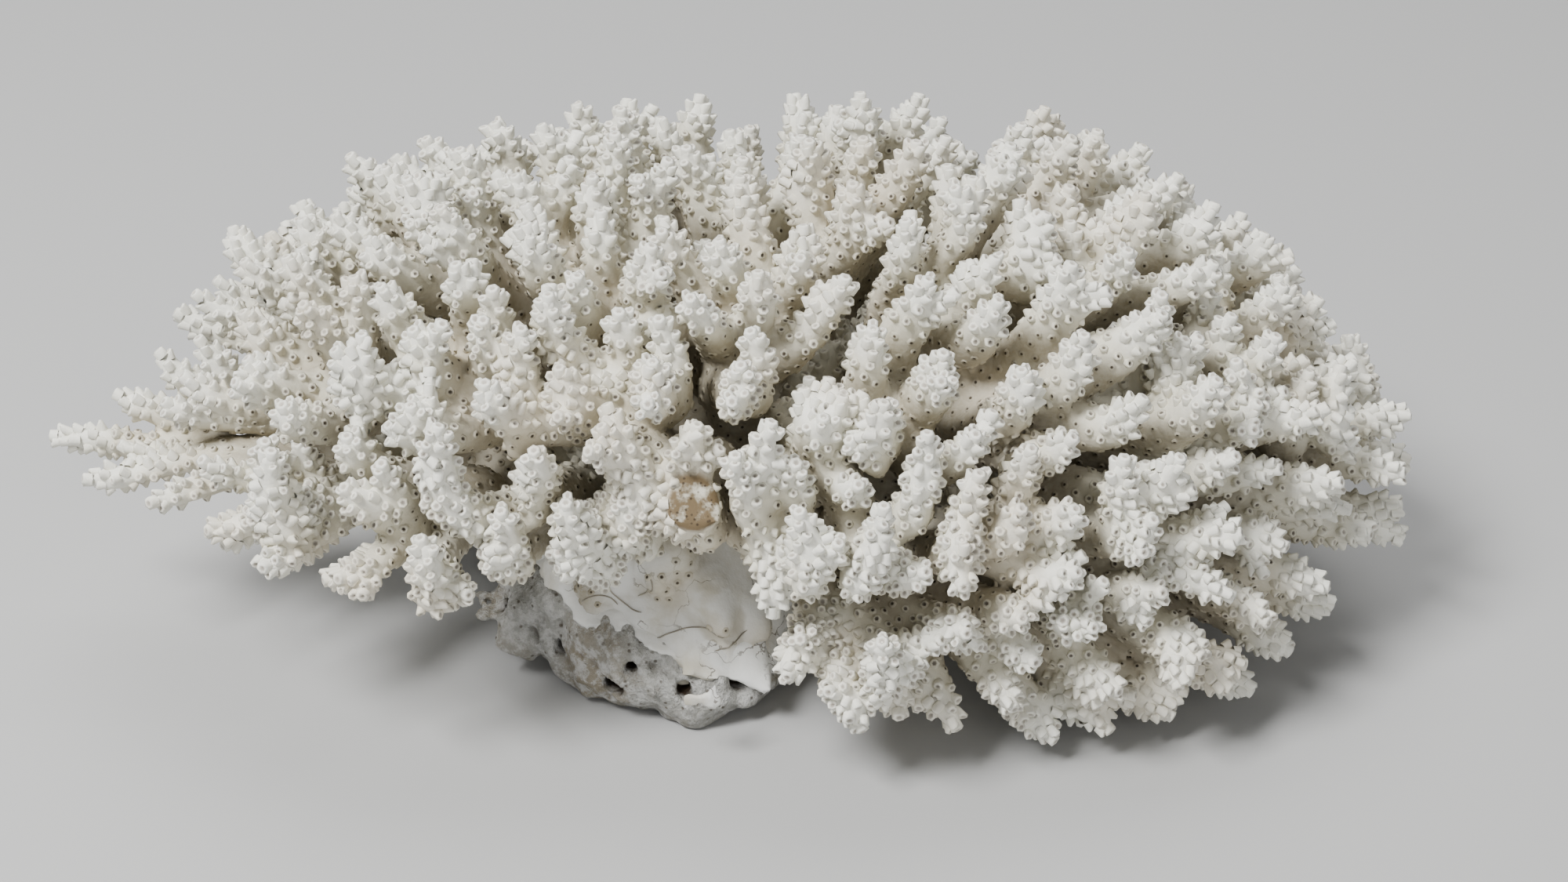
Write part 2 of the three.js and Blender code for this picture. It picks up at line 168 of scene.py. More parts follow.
# Stray hairs that stick to the crust: bearing and height where each starts, the way it sets off,
# how much it turns in each mm, all in degrees, and its length in mm.
HAIRS = [
    (-119, 28.0, -20, 9.0, 13.0),
    (-112, 24.0, 60, -11.0, 11.0),
    (-104, 30.0, -70, 6.0, 12.0),
    (-92, 27.0, 10, 13.0, 9.0),
    (-86, 19.0, 40, -5.0, 14.0),
    (-70, 17.0, -10, 8.0, 9.0),
    (150, 24.0, -50, -8.0, 12.0),
]
HAIR_RADIUS = 0.15
HAIR_STEP = 0.7
HAIR_START, HAIR_ROOM = 50.0, 26.0  # the crust is looked for from here, and as far in as this
HAIR_ROUND = 38.0  # about how far from the stone's axis they lie
HAIR_THIN_END = 0.4

# The stone. A lump stands out low on the left: bearing in degrees, distance from the middle, height,
# radius.
STONE_LUMP = (-143, 28.5, 12.5, 8.5)
LUMP_ROOT, LUMP_FUSE = 8.0, 5.0
STONE_ROUGHNESS = [(1.0, 10.0), (0.8, 4.6), (0.55, 2.3)]
POCK_DEPTH, POCK_LUMPS, POCK_PEAK, POCK_MOST = 1.6, 2.8, 0.9, 1.2
# Holes that worms and mussels bored in it: bearing in degrees, height, radius, depth.
BORES = [
    (-79, 9.5, 1.7, 9),
    (-94, 13, 1.6, 7),
    (-100, 8, 2.6, 6),
    (-122, 11, 1.8, 5),
    (-64, 10, 2.2, 5),
    (-150, 14, 1.4, 6),
    (175, 9, 1.8, 6),
    (120, 10, 1.5, 7),
    (84, 8, 2.2, 6),
    (50, 6, 1.4, 5),
]
BORE_SEARCH = (15.0, 60.0, 0.4)
BORE_NARROWS, BORE_FUSE = 0.7, 0.5
BORE_SHADE = (0.8, 2.3)  # depth at which a hole starts to be dark, and is all dark

# Partly the coral's own colour and partly painted shade, as the distance is made longer in the gaps
# between fingers.
WHITE_REACH = 31.0  # distance from a tip at which the coral has turned from white to tan

# Corallites: their spacing and size change with the distance from the nearest tip.
TIP_DISTANCE = np.array([0.0, 6.0, 12.0, 18.0, 24.0])
SPACING = np.array([1.9, 1.95, 2.05, 2.25, 2.45])
HEIGHT = np.array([1.38, 1.32, 1.1, 0.75, 0.35])
RADIUS = np.array([1.06, 1.08, 1.06, 1.0, 0.9])
LEAN = np.array([55.0, 52.0, 44.0, 28.0, 8.0])
LEAN_SPREAD, HEIGHT_SPREAD, RADIUS_SPREAD = 6.0, (0.75, 1.25), (0.88, 1.1)
LAST_CORALLITE = 24.0
LAST_PIT = 46.0  # between the two there are only low rings round a pit
FARTHEST = 60.0  # distances from the tips are followed as far as this
PIT_RADIUS, PIT_SPREAD, PIT_HEIGHT = 0.95, (0.85, 1.15), 0.3
GAP = 18.0  # mm that they reach less far down in the gap between two fingers
GAP_STEPS = (3.0, 5.0, 8.0, 12.0)  # where it is looked for what stands opposite
FACING = 7.0  # mm that they reach further down the side of a finger that faces out
FIRST_SHIFTED = 12.0  # nearer to a tip than this, the last two do less
TRIES = 8  # places tried for each corallite that there is room for
CORALLITE_SIDES = 6
END_REACHED = 2.2  # a finger's end counts where the surface is this near to it
END_SUNK, END_HEIGHT, END_RADIUS = 0.9, 1.2, 1.35  # of the larger corallite at each end
AXIAL_ROOM = 1.9  # kept clear round it
BARE_SHARE = 0.4  # none where the surface is crust or section by more than this
# A corallite's rings: share of the radius, share of the height, depth in the pit, height in mm added.
TUBE = [(1.0, 0.0, 0.0, -0.6), (1.0, 0.85, 0.0, 0.0), (0.46, 1.0, 0.5, 0.05), (0.0, 1.0, 1.0, -0.75)]
LOW_RING = [(1.0, 0.0, 0.0, -0.25), (0.7, 1.0, 0.0, 0.0), (0.0, 0.3, 1.0, 0.0)]
LIP = 0.28  # how much longer the outer side of a tube is than its middle

# The studio, in metres and watts: name, place, size and power of each light.
TARGET = (0.0277, 0.006, 0.0396)
LIGHTS = [
    ("key", (-0.6, -0.56, 1.18), 0.45, 37),
    ("fill", (0.5, -1.1, 0.45), 1.0, 5),
    ("top", (0.1, 0.5, 1.3), 0.9, 12),
]
AMBIENT = 0.24
FLOOR_HALF = 6.0
CAMERA_DOWN, CAMERA_AWAY, CAMERA_LENS = 30, 0.545, 60

rng = np.random.default_rng(7)


# ---------------------------------------------------------------- meshes as arrays


def node_mesh(name):
    """Points in mm and triangles of a CAD node, with doubled points merged."""
    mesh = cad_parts[name].data
    points = np.empty(len(mesh.vertices) * 3, np.float32)
    mesh.vertices.foreach_get("co", points)
    mesh.calc_loop_triangles()
    triangles = np.empty(len(mesh.loop_triangles) * 3, np.int32)
    mesh.loop_triangles.foreach_get("vertices", triangles)
    rounded = np.round(points.reshape(-1, 3) / MM, 3)
    unique, index = np.unique(rounded, axis=0, return_inverse=True)
    return unique, index.ravel()[triangles].reshape(-1, 3)


def joined(parts):
    """Several (points, triangles) pairs as one, and the part number of each triangle."""
    points, triangles, part, start = [], [], [], 0
    for number, (p, t) in enumerate(parts):
        points.append(p)
        triangles.append(t + start)
        part.append(np.full(len(t), number))
        start += len(p)
    return np.concatenate(points), np.concatenate(triangles), np.concatenate(part)


def unit(vectors):
    length = np.linalg.norm(vectors, axis=-1, keepdims=True)
    return vectors / np.maximum(length, 1e-9)


def dot(a, b):
    """The dot product of each row of a with the same row of b."""
    return np.einsum("ij,ij->i", a, b)


def ramp(values, start, end):
    """0 up to start and 1 from end on, or the other way round where end is the smaller one."""
    return np.clip((values - start) / (end - start), 0, 1)


def face_normals(points, triangles):
    """The normal of each triangle, as long as twice its area."""
    a, b, c = (points[triangles[:, i]] for i in range(3))
    return np.cross(b - a, c - a)


def vertex_normals(points, triangles):
    face = face_normals(points, triangles)
    normals = np.zeros_like(points)
    for corner in range(3):
        np.add.at(normals, triangles[:, corner], face)
    return unit(normals)


class Surface:
    """Points in mm and triangles, with the normals at the points."""

    def __init__(self, points, triangles, normals=None):
        self.points, self.triangles = points, triangles
        self.normals = vertex_normals(points, triangles) if normals is None else normals

    def hollowness(self, edges):
        """How far each point lies below the points round it."""
        return dot(spread(self.points, edges, 4) - self.points, self.normals)


def tree_of(points):
    tree = KDTree(len(points))
    for index, point in enumerate(points.tolist()):
        tree.insert(point, index)
    tree.balance()
    return tree


def nearest_points(points, targets):
    """The number of the point nearest to each target."""
    tree = tree_of(points)
    return np.array([tree.find(target)[1] for target in targets.tolist()])


def in_scene(name, data):
    """A new object of the scene."""
    item = bpy.data.objects.new(name, data)
    bpy.context.scene.collection.objects.link(item)
    return item


def make_piece(name, surface, attributes, material):
    """A smooth mesh object, with one float attribute for each entry of attributes."""
    mesh = bpy.data.meshes.new(name)
    count = len(surface.triangles)
    mesh.vertices.add(len(surface.points))
    mesh.vertices.foreach_set("co", (surface.points * MM).astype(np.float32).ravel())
    mesh.loops.add(count * 3)
    mesh.loops.foreach_set("vertex_index", surface.triangles.astype(np.int32).ravel())
    mesh.polygons.add(count)
    mesh.polygons.foreach_set("loop_start", np.arange(0, count * 3, 3, dtype=np.int32))
    mesh.polygons.foreach_set("use_smooth", np.ones(count, bool))
    mesh.update(calc_edges=True)
    mesh.validate()
    for key, values in attributes.items():
        layer = mesh.attributes.new(key, "FLOAT", "POINT")
        layer.data.foreach_set("value", values.astype(np.float32))
    mesh.normals_split_custom_set_from_vertices([tuple(n) for n in surface.normals.tolist()])
    mesh.materials.append(material)
    return in_scene(name, mesh)


# ---------------------------------------------------------------- grids


class Grid:
    """A block of distances to a surface, in mm, on cubic cells."""

    def __init__(self, points, margin, cell):
        """A block round the points with this margin, far from any surface."""
        low, high = points.min(0) - margin, points.max(0) + margin
        self.cell = cell
        self.first = np.floor(low / cell).astype(int)
        self.shape = tuple(np.ceil(high / cell).astype(int) - self.first + 1)
        self.far = 4 * cell
        self.field = np.full(self.shape, self.far, np.float32)

    def take_mesh(self, points, triangles):
        level = vdb.FloatGrid.createLevelSetFromPolygons(
            points.astype(np.float32),
            triangles=triangles.astype(np.uint32),
            transform=vdb.createLinearTransform(self.cell),
            halfWidth=4.0,
        )
        block = np.empty(self.shape, np.float32)
        level.copyToArray(block, ijk=tuple(int(i) for i in self.first))
        self.field = np.minimum(self.field, block)

    def blur(self, rounds):
        for _ in range(rounds):
            for axis in range(3):
                before = np.roll(self.field, 1, axis)
                after = np.roll(self.field, -1, axis)
                self.field = 0.5 * self.field + 0.25 * (before + after)

    def centres(self, start=(0, 0, 0), stop=None):
        """The centres of the cells from start to stop, or of all of them."""
        stop = self.shape if stop is None else stop
        axes = [(np.arange(a, b) + f) * self.cell for a, b, f in zip(start, stop, self.first)]
        return np.stack(np.meshgrid(*axes, indexing="ij"), -1)

    def window(self, low, high):
        """Slices of the cells between two points, and the cells' centres."""
        start = np.clip(np.floor(low / self.cell).astype(int) - self.first, 0, self.shape)
        stop = np.clip(np.ceil(high / self.cell).astype(int) - self.first + 1, 0, self.shape)
        return tuple(slice(a, b) for a, b in zip(start, stop)), self.centres(start, stop)

    def at(self, points):
        """The distances in the cells that the points are in."""
        cell = np.round(points / self.cell).astype(int) - self.first
        cell = np.clip(cell, 0, np.array(self.shape) - 1)
        return self.field[tuple(cell.T)]

    def reach(self, foot, way, steps):
        """The first of the steps from foot along way that is outside the surface."""
        return steps[(self.at(foot + steps[:, None] * way) > 0).argmax()]

    def add_rod(self, start, end, start_radius, end_radius, fuse, sign=1):
        """Adds a round-ended tapered rod, or takes it out where sign is -1."""
        margin = max(start_radius, end_radius) + fuse + self.cell
        low, high = np.minimum(start, end) - margin, np.maximum(start, end) + margin
        slices, centres = self.window(low, high)
        axis = end - start
        share = np.clip((centres - start) @ axis / (axis @ axis), 0, 1)
        off = np.linalg.norm(centres - start - share[..., None] * axis, axis=-1)
        rod = off - (start_radius + share * (end_radius - start_radius))
        self.field[slices] = sign * fused(sign * self.field[slices], rod, fuse)

    def noise(self, cell):
        """Smooth noise whose lumps are about two cells across."""
        shape = [max(2, int(n * self.cell / cell) + 2) for n in self.shape]
        noise = rng.normal(size=shape).astype(np.float32)
        for axis, count in enumerate(self.shape):
            place = np.arange(count) * self.cell / cell
            before = place.astype(int)
            share = place - before
            share = share * share * (3 - 2 * share)
            share = share.reshape([-1 if i == axis else 1 for i in range(3)])
            lower, upper = (np.take(noise, before + step, axis) for step in (0, 1))
            noise = lower * (1 - share) + upper * share
        return noise

    def with_noise(self, values, layers):
        """Values with noise added, given the size and the lumps' size of each layer."""
        for size, cell in layers:
            values = values + size * self.noise(cell)
        return values

    def surface(self):
        """Points and triangles where the distance is nothing."""
        level = vdb.FloatGrid(self.far)
        level.copyFromArray(self.field, ijk=tuple(int(i) for i in self.first))
        level.transform = vdb.createLinearTransform(self.cell)
        points, triangles, quads = level.convertToPolygons(0.0, 0.0)
        halves = np.concatenate([quads[:, [0, 1, 2]], quads[:, [0, 2, 3]]])
        triangles = np.concatenate([triangles.reshape(-1, 3), halves]).astype(np.int64)
        return facing_out(np.asarray(points, np.float64), triangles)


def fused(a, b, width):
    """The smaller of two distances, rounded where they meet."""
    share = np.clip(0.5 + 0.5 * (b - a) / width, 0, 1)
    return b + share * (a - b) - width * share * (1 - share)


def facing_out(points, triangles):
    """The triangles, turned over if they face inwards."""
    a, b, c = (points[triangles[:, i]] for i in range(3))
    volume = dot(a, np.cross(b, c)).sum()
    return points, triangles if volume > 0 else triangles[:, ::-1]


# ---------------------------------------------------------------- the frame's solids


coral_names = [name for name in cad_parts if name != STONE]
coral_meshes = [node_mesh(name) for name in coral_names]
cad_points, cad_triangles, cad_part = joined(coral_meshes)
middle = node_mesh(TRUNK)[0].mean(0)
stone_middle = node_mesh(STONE)[0].mean(0)


def broken_end():
    """The middle of the broken stub's flat end, and the way it points."""
    points, _ = node_mesh(BROKEN_STUB)
    reach = np.linalg.norm(points - middle, axis=1)
    end = points[np.argsort(reach)[-STUB_SIDES:]].mean(0)
    return end, unit(end - points.mean(0))


stub_end, stub_way = broken_end()
stub_face = unit(np.array(STUB_FACES))


def outward_way(points):
    """The way out of the colony at each point: square to an oval shell through it."""
    half = np.ptp(cad_points, axis=0) / 2
    return unit((points - middle) / half**2)


def bearing_and_rise(points):
    """Seen from the middle of the trunk, in degrees. The front is at -90."""
    x, y, z = (points - middle).T
    return np.degrees(np.arctan2(y, x)), np.degrees(np.arctan2(z, np.hypot(x, y)))


def level_way(bearing):
    """The level direction at a bearing in degrees."""
    return np.array([math.cos(math.radians(bearing)), math.sin(math.radians(bearing)), 0])


def stone_axis(height):
    """The point above the middle of the stone at this height."""
    return np.array([*stone_middle[:2], height])


# ---------------------------------------------------------------- fingers


def blunt_tip(point, rim):
    """The way the tip of a finger points, or None where the point isn't one."""
    off = rim - rim.mean(0)
    axis = point - rim.mean(0)
    rise = np.linalg.norm(axis)
    axis = axis / max(rise, 1e-9)
    width = np.linalg.norm(off - (off @ axis)[:, None] * axis, axis=1).mean()
    ahead = ((rim - point) @ axis).max() < -TIP_AHEAD
    outward = axis @ unit(point - middle) > 0
    right_size = TIP_RISE[0] < rise < TIP_RISE[1] and TIP_WIDTH[0] < width < TIP_WIDTH[1]
    return axis if ahead and outward and right_size else None


def finger_ends(points, triangles):
    """The blunt points of a limb's fingers, each with the way it points."""
    around = [set() for _ in points]
    for a, b, c in triangles.tolist():
        around[a].update((b, c))
        around[b].update((c, a))
        around[c].update((a, b))
    ends = []
    for point, ring in zip(points, around):
        if TIP_RING[0] <= len(ring) <= TIP_RING[1]:
            axis = blunt_tip(point, points[list(ring)])
            if axis is not None:
                ends.append((point, axis))
    return ends


def across(axis):
    """Two directions square to axis and to each other."""
    side = unit(np.cross(axis, [0.3, -0.5, 0.8]))
    return side, np.cross(axis, side)


def hollow_between_fingers(grid, tips):
    """Takes the limbs in, so that only their cores are left where the fingers stand."""
    far = Grid(cad_points, GRID_MARGIN, VOXEL)
    full, none = HOLLOW_DEPTH
    far.field[:] = none
    for tip, _ in tips:
        slices, centres = far.window(tip - none, tip + none)
        off = np.linalg.norm(centres - tip, axis=-1)
        far.field[slices] = np.minimum(far.field[slices], off)
    grid.field += HOLLOWING * ramp(far.field, none, full)


def path_of_finger(tip, axis):
    """Places along the middle of a finger, from just below its tip down into its limb, and the way
    its end points. Fingers of the crown curve up."""
    _, rise = bearing_and_rise(tip[None])
    curl = UPTURN * ramp(rise[0], *UPTURN_RISE)
    way = unit(axis + curl * np.array([0, 0, 1]))
    low = tip - FINGER_STRAIGHT * axis
    foot = low + FINGER_ROOT * unit(middle - low)
    guides = [tip - TIP_RADIUS * way, tip - FINGER_ELBOW * way, low, foot]
    places = []
    for share in np.linspace(0, 1, FINGER_PLACES):
        # A Bezier curve: the four guides become three, two and then one.
        line = guides
        while len(line) > 1:
            line = [a + share * (b - a) for a, b in zip(line, line[1:])]
        places.append(line[0])
    return places, way


def grow_finger(grid, tip, axis, places):
    """Adds a finger and its branchlets. Returns the ends, each with its direction."""
    depth = 0.0
    on_arm = tip[0] < ARMS_LEFT
    for upper, lower in zip(places, places[1:]):
        length = np.linalg.norm(upper - lower)
        radii = np.interp([depth, depth + length], FINGER_DEPTH, FINGER_RADIUS)
        radii = radii * (ARM_SLIM if on_arm else 1.0)
        grid.add_rod(upper, lower, radii[0], radii[1], FUSE)
        depth += length
    ends = [(tip, axis)]
    side, up = across(axis)
    turn = rng.uniform(0, 2 * math.pi)
    for number in range(0 if on_arm else rng.choice(BRANCHLETS_ON_A_FINGER)):
        angle = turn + number * BRANCHLET_TURN + rng.normal(0, 0.3)
        outward = math.cos(angle) * side + math.sin(angle) * up
        down = rng.uniform(*BRANCHLET_DOWN)
        lean = math.radians(rng.uniform(*BRANCHLET_LEAN))
        along = math.cos(lean) * axis + math.sin(lean) * outward
        start = tip - down * axis + outward
        # It stays 2 mm lower than its finger.
        length = min(rng.uniform(*BRANCHLET_LENGTH), (down - 2) / math.cos(lean))
        end = start + length * along
        if np.linalg.norm(end - stub_end) >= STUB_ROOM:
            grid.add_rod(start, end, BRANCHLET_RADIUS, BRANCHLET_END_RADIUS, FUSE)
            ends.append((end + TIP_RADIUS * along, along))
    return ends


def lift(points):
    """Raises the two shoulders of the dome a little, and the underside of the lobes on the left, and
    lowers the skirt on the right. Each ramp says where in x, y or z the move comes in."""
    x, y, z = points.T
    shoulders = sum(rise * np.exp(-(((x - place) / wide) ** 2)) for rise, place, wide in SHOULDERS)
    low = ramp(z, 48, 28) * ramp(y, 10, -10)
    lobes = ramp(x, -34, -48) * ramp(x, -112, -96)
    rise = ramp(z, 55, 85) * shoulders + LOBES_RISE * low * lobes
    skirt = ramp(x, 55, 75) * ramp(y, 0, -20)
    rise -= SKIRT_DROP * skirt * ramp(z, 30, 15) * ramp(z, 3, 10)
    return points + rise[:, None] * [0, 0, 1]


def bend(points):
    """A slow waver that takes the stiffness out of the fingers. It is nothing near the stone."""
    points = lift(points)
    x, y, z = points.T
    size = WAVER * ramp(z, 12, 42)
    waver = np.stack(
        [
            np.sin(y / 6.1 + z / 9.0) + np.sin(z / 5.3 - x / 11.0),
            np.sin(x / 6.7 + z / 7.0 + 1) + np.sin(z / 4.9 + y / 12.0),
            np.sin(x / 5.9 - y / 7.3 + 2),
        ],
        -1,
    )
    return points + size[:, None] * waver


# ---------------------------------------------------------------- the skeleton


def young_starts():
    """Random places on the CAD solids where a young finger may start, and the ways it would grow."""
    area = np.linalg.norm(face_normals(cad_points, cad_triangles), axis=1)
    chosen = rng.choice(len(area), YOUNG_TRIES, p=area / area.sum())
    weights = rng.dirichlet((1, 1, 1), YOUNG_TRIES)
    starts = values_at(cad_points, cad_triangles, chosen, weights)
    bearings, rises = bearing_and_rise(starts)
    up = np.clip((rises + 4) / 20, -0.3, 1)[:, None] * [0, 0, YOUNG_UPTURN]
    ways = unit(outward_way(starts) + up + rng.normal(0, YOUNG_SPREAD, starts.shape))
    left, right = BARE_BEARINGS
    kept_bare = (bearings > left) & (bearings < right) & (rises < BARE_RISE)
    from_stone = np.hypot(*(starts - stone_middle)[:, :2].T)
    kept_bare |= (from_stone < BARE_ROUND_STONE) & (starts[:, 2] < BARE_HEIGHT)
    kept_bare |= starts[:, 0] < YOUNG_LEFT
    return starts[~kept_bare], ways[~kept_bare]


def grow_young_fingers(grid, tips):
    """Fills the gaps between the limbs with short fingers, each as long as there is room for."""
    reach_of_dome = np.linalg.norm(tips - middle, axis=1)
    dome = tree_of(unit(tips - middle))
    steps = np.arange(YOUNG_FIRST, YOUNG_LONGEST, YOUNG_STEP)
    root_radius, radius = YOUNG_RADII
    ends = []
    for start, way in zip(*young_starts()):
        line = start + steps[:, None] * way
        clear = grid.at(line) > np.minimum(YOUNG_ROOM, 0.7 * steps)
        length = steps[-1] if clear.all() else steps[clear.argmin()] - YOUNG_STEP
        tip = start + length * way
        nearest = dome.find(unit(tip - middle))[1]
        spare = DOME_SHARE * reach_of_dome[nearest] - np.linalg.norm(tip - middle)
        length += min(0, spare)
        if length < YOUNG_SHORTEST or start[2] + length * way[2] < YOUNG_LOWEST:
            continue
        tip = start + length * way
        taper = tip - YOUNG_END * way
        grid.add_rod(start - YOUNG_ROOT * way, taper, root_radius, radius, FUSE)
        grid.add_rod(taper, tip - TIP_RADIUS * way, radius, TIP_RADIUS, FUSE)
        ends.append((tip, way))
    return ends


def crust_edge(x, y):
    """The height of the crust's wavy lower edge."""
    bearing = np.arctan2(y, x)
    edge = CRUST_EDGE_LEFT + (CRUST_EDGE_RIGHT - CRUST_EDGE_LEFT) * ramp(x, -24, 6)
    return edge + 1.8 * np.sin(3 * bearing + 0.6) + 1.3 * np.sin(7 * bearing)


def sheet_over(surface, thickness, edge, z, lip):
    """Distances from a sheet of this thickness over a surface, which ends at the edge's height."""
    height, under, below = lip
    bare = 1 - np.clip((z - edge) / height + 0.5, 0, 1)
    return np.maximum(surface - thickness + under * bare, edge - below - z).astype(np.float32)


def lay_crust(grid):
    """Spreads a thin sheet from the trunk down over the stone to a wavy edge, where it runs out.
    Returns the distances from the stone."""
    stone = Grid(cad_points, GRID_MARGIN, VOXEL)
    stone.take_mesh(*node_mesh(STONE))
    x, y, z = np.moveaxis(stone.centres(), -1, 0)
    edge = crust_edge(x, y) + COARSE_CRUST_UP
    sheet = sheet_over(stone.field, CRUST_THICKNESS, edge, z, COARSE_CRUST_LIP)
    rough = stone.with_noise(0.0, COARSE_CRUST_NOISE)
    grid.field = fused(grid.field, sheet, 4.0)
    grid.field += (rough * (stone.field < ON_STONE)).astype(np.float32)
    return stone


def add_knobs(grid):
    """Adds the knobs that hang over the crust. Returns their ends."""
    steps = np.arange(*KNOB_SEARCH)
    ends = []
    for bearing, height, length, radius in KNOBS:
        way, foot = level_way(bearing), stone_axis(height)
        start = foot + (grid.reach(foot, way, steps) - 1) * way
        along = unit(KNOB_OUTWARD * way - [0, 0, 1])
        end = start + length * along
        end_radius = radius - KNOB_NARROWER
        grid.add_rod(start, end, radius + KNOB_WIDER, end_radius, KNOB_FUSE)
        ends.append(end + end_radius * along)
    return np.array(ends)


def break_off(grid):
    """Cuts the broken stub off flat."""
    slices, centres = grid.window(stub_end - CUT_ROOM, stub_end + CUT_ROOM)
    out = centres - stub_end
    before = (out @ stub_face) - CUT_AHEAD
    off = np.linalg.norm(out - (out @ stub_way)[..., None] * stub_way, axis=-1)
    taken = np.maximum(np.maximum(-before, before - CUT_LENGTH), off - STUB_RADIUS - 2.5)
    grid.field[slices] = np.maximum(grid.field[slices], -taken)


def skeleton():
    """The grids of the coral's rounded surface and of the stone, the ends of the knobs, and the ends
    of the fingers and branchlets with the ways they point."""
    grid = Grid(cad_points, GRID_MARGIN, VOXEL)
    limbs = [mesh for name, mesh in zip(coral_names, coral_meshes) if name != TRUNK]
    grid.take_mesh(*joined(limbs)[:2])
    grid.blur(2)
    tips = []
    for name, mesh in zip(coral_names, coral_meshes):
        if name not in (TRUNK, BROKEN_STUB):
            tips += finger_ends(*mesh)
    hollow_between_fingers(grid, tips)
    grid.take_mesh(*node_mesh(TRUNK))
    grid.blur(1)
    stub_foot, stub_top = stub_end - STUB_ROOT * stub_way, stub_end + STUB_OVER * stub_way
    grid.add_rod(stub_foot, stub_top, STUB_RADIUS + 0.6, STUB_RADIUS, 3.0)
    ends = []
    for tip, axis in tips:
        places, way = path_of_finger(tip, axis)
        ends += grow_finger(grid, tip, way, places)
    ends += grow_young_fingers(grid, np.array([tip for tip, _ in tips]))
    stone = lay_crust(grid)
    knobs = add_knobs(grid)
    grid.field = grid.with_noise(grid.field, ROUGHNESS)
    break_off(grid)
    places, ways = (np.array(values) for values in zip(*ends))
    return grid, stone, knobs, places, ways


def edge_list(triangles):
    """The two points of every edge, once."""
    pairs = np.concatenate([triangles[:, [0, 1]], triangles[:, [1, 2]], triangles[:, [2, 0]]])
    return np.unique(np.sort(pairs, axis=1), axis=0)


def main_body(points, triangles, share=1.0):
    """The largest connected part of the surface, and the others with at least this share of its
    points."""
    edges = edge_list(triangles)
    label = np.arange(len(points))
    while True:
        low = np.minimum(label[edges[:, 0]], label[edges[:, 1]])
        new = label.copy()
        np.minimum.at(new, edges[:, 0], low)
        np.minimum.at(new, edges[:, 1], low)
        new = new[new]
        if np.array_equal(new, label):
            break
        label = new
    _, part, counts = np.unique(label, return_inverse=True, return_counts=True)
    keep = counts[part] >= share * counts.max()
    index = np.cumsum(keep) - 1
    kept = triangles[keep[triangles[:, 0]]]
    return points[keep], index[kept]


def distance_from(points, edges, seeds, limit):
    """Distance along the surface from the nearest seed, up to limit."""
    length = np.linalg.norm(points[edges[:, 0]] - points[edges[:, 1]], axis=1)
    distance = np.full(len(points), limit, float)
    distance[seeds] = 0
    # One round goes one edge further. Edges are often shorter than a cell, so more are needed.
    for _ in range(int(limit / VOXEL * 1.6)):
        new = distance.copy()
        np.minimum.at(new, edges[:, 0], distance[edges[:, 1]] + length)
        np.minimum.at(new, edges[:, 1], distance[edges[:, 0]] + length)
        if np.array_equal(new, distance):
            break
        distance = new
    return distance


def spread(values, edges, rounds):
    """Averages values with their neighbours along the surface."""
    for _ in range(rounds):
        total = values.copy()
        count = np.ones(len(values))
        for a, b in ((0, 1), (1, 0)):
            np.add.at(total, edges[:, a], values[edges[:, b]])
            np.add.at(count, edges[:, a], 1)
        values = total / (count[:, None] if values.ndim > 1 else count)
    return values


def towards_tips(skin, distance):
    """The direction along the surface in which the distance from the tips falls."""
    points, triangles, normals = skin.points, skin.triangles, skin.normals
    corner = [points[triangles[:, i]] for i in range(3)]
    face = face_normals(points, triangles)
    area = np.linalg.norm(face, axis=1, keepdims=True)
    slope = 0
    for i in range(3):
        across_side = np.cross(face, corner[i - 1] - corner[i - 2])
        slope = slope + across_side * distance[triangles[:, i]][:, None]
    slope = slope / np.maximum(area, 1e-9)
    way = np.zeros_like(points)
    for i in range(3):
        np.add.at(way, triangles[:, i], -slope)
    way -= dot(way, normals)[:, None] * normals
    return unit(way)


# ---------------------------------------------------------------- corallites


def values_at(values, triangles, chosen, weights):
    """Values of the surface's points at places on it."""
    corners = values[triangles[chosen]]
    if values.ndim > 1:
        return np.einsum("ij,ijk->ik", weights, corners)
    return (weights * corners).sum(1)


def spaced_out(places, rooms, ends):
    """The numbers of the places that are kept, so that each has its room and the ends have theirs."""
    tree = tree_of(places)
    free = bytearray(b"\x01") * len(places)
    for end in ends.tolist():
        for _, other, _ in tree.find_range(end, AXIAL_ROOM):
            free[other] = 0
    kept = []
    for index, (place, room) in enumerate(zip(places.tolist(), rooms.tolist())):
        if free[index]:
            kept.append(index)
            for _, other, _ in tree.find_range(place, room):
                free[other] = 0
    return np.array(kept)


def corallite_places(skin):
    """Evenly scattered places on the surface, clear of the ends: (triangle, weights) of each."""
    area = np.linalg.norm(face_normals(skin.points, skin.triangles), axis=1) / 2
    here = skin.far[skin.triangles].mean(1)
    space = np.interp(here, TIP_DISTANCE, SPACING)
    wanted = np.where((here < LAST_PIT) & skin.allowed, area / space**2, 0)
    total = int(wanted.sum() * TRIES)
    chosen = rng.choice(len(wanted), total, p=wanted / wanted.sum())
    u, v = rng.random(total), rng.random(total)
    flip = u + v > 1
    u[flip], v[flip] = 1 - u[flip], 1 - v[flip]
    weights = np.stack([1 - u - v, u, v], 1)
    places = values_at(skin.points, skin.triangles, chosen, weights)
    kept = spaced_out(places, space[chosen], skin.ends)
    return chosen[kept], weights[kept]


def triangles_of_cup(ring_count, sides):
    """Triangles of one corallite: bands between its rings, and a fan round its last point."""
    cell = []
    inner = (ring_count - 2) * sides
    for low in range(0, inner, sides):
        for i in range(sides):
            j = (i + 1) % sides
            cell += [(low + i, low + j, low + sides + j), (low + i, low + sides + j, low + sides + i)]
    for i in range(sides):
        cell.append((inner + i, inner + (i + 1) % sides, inner + sides))
    return np.array(cell)


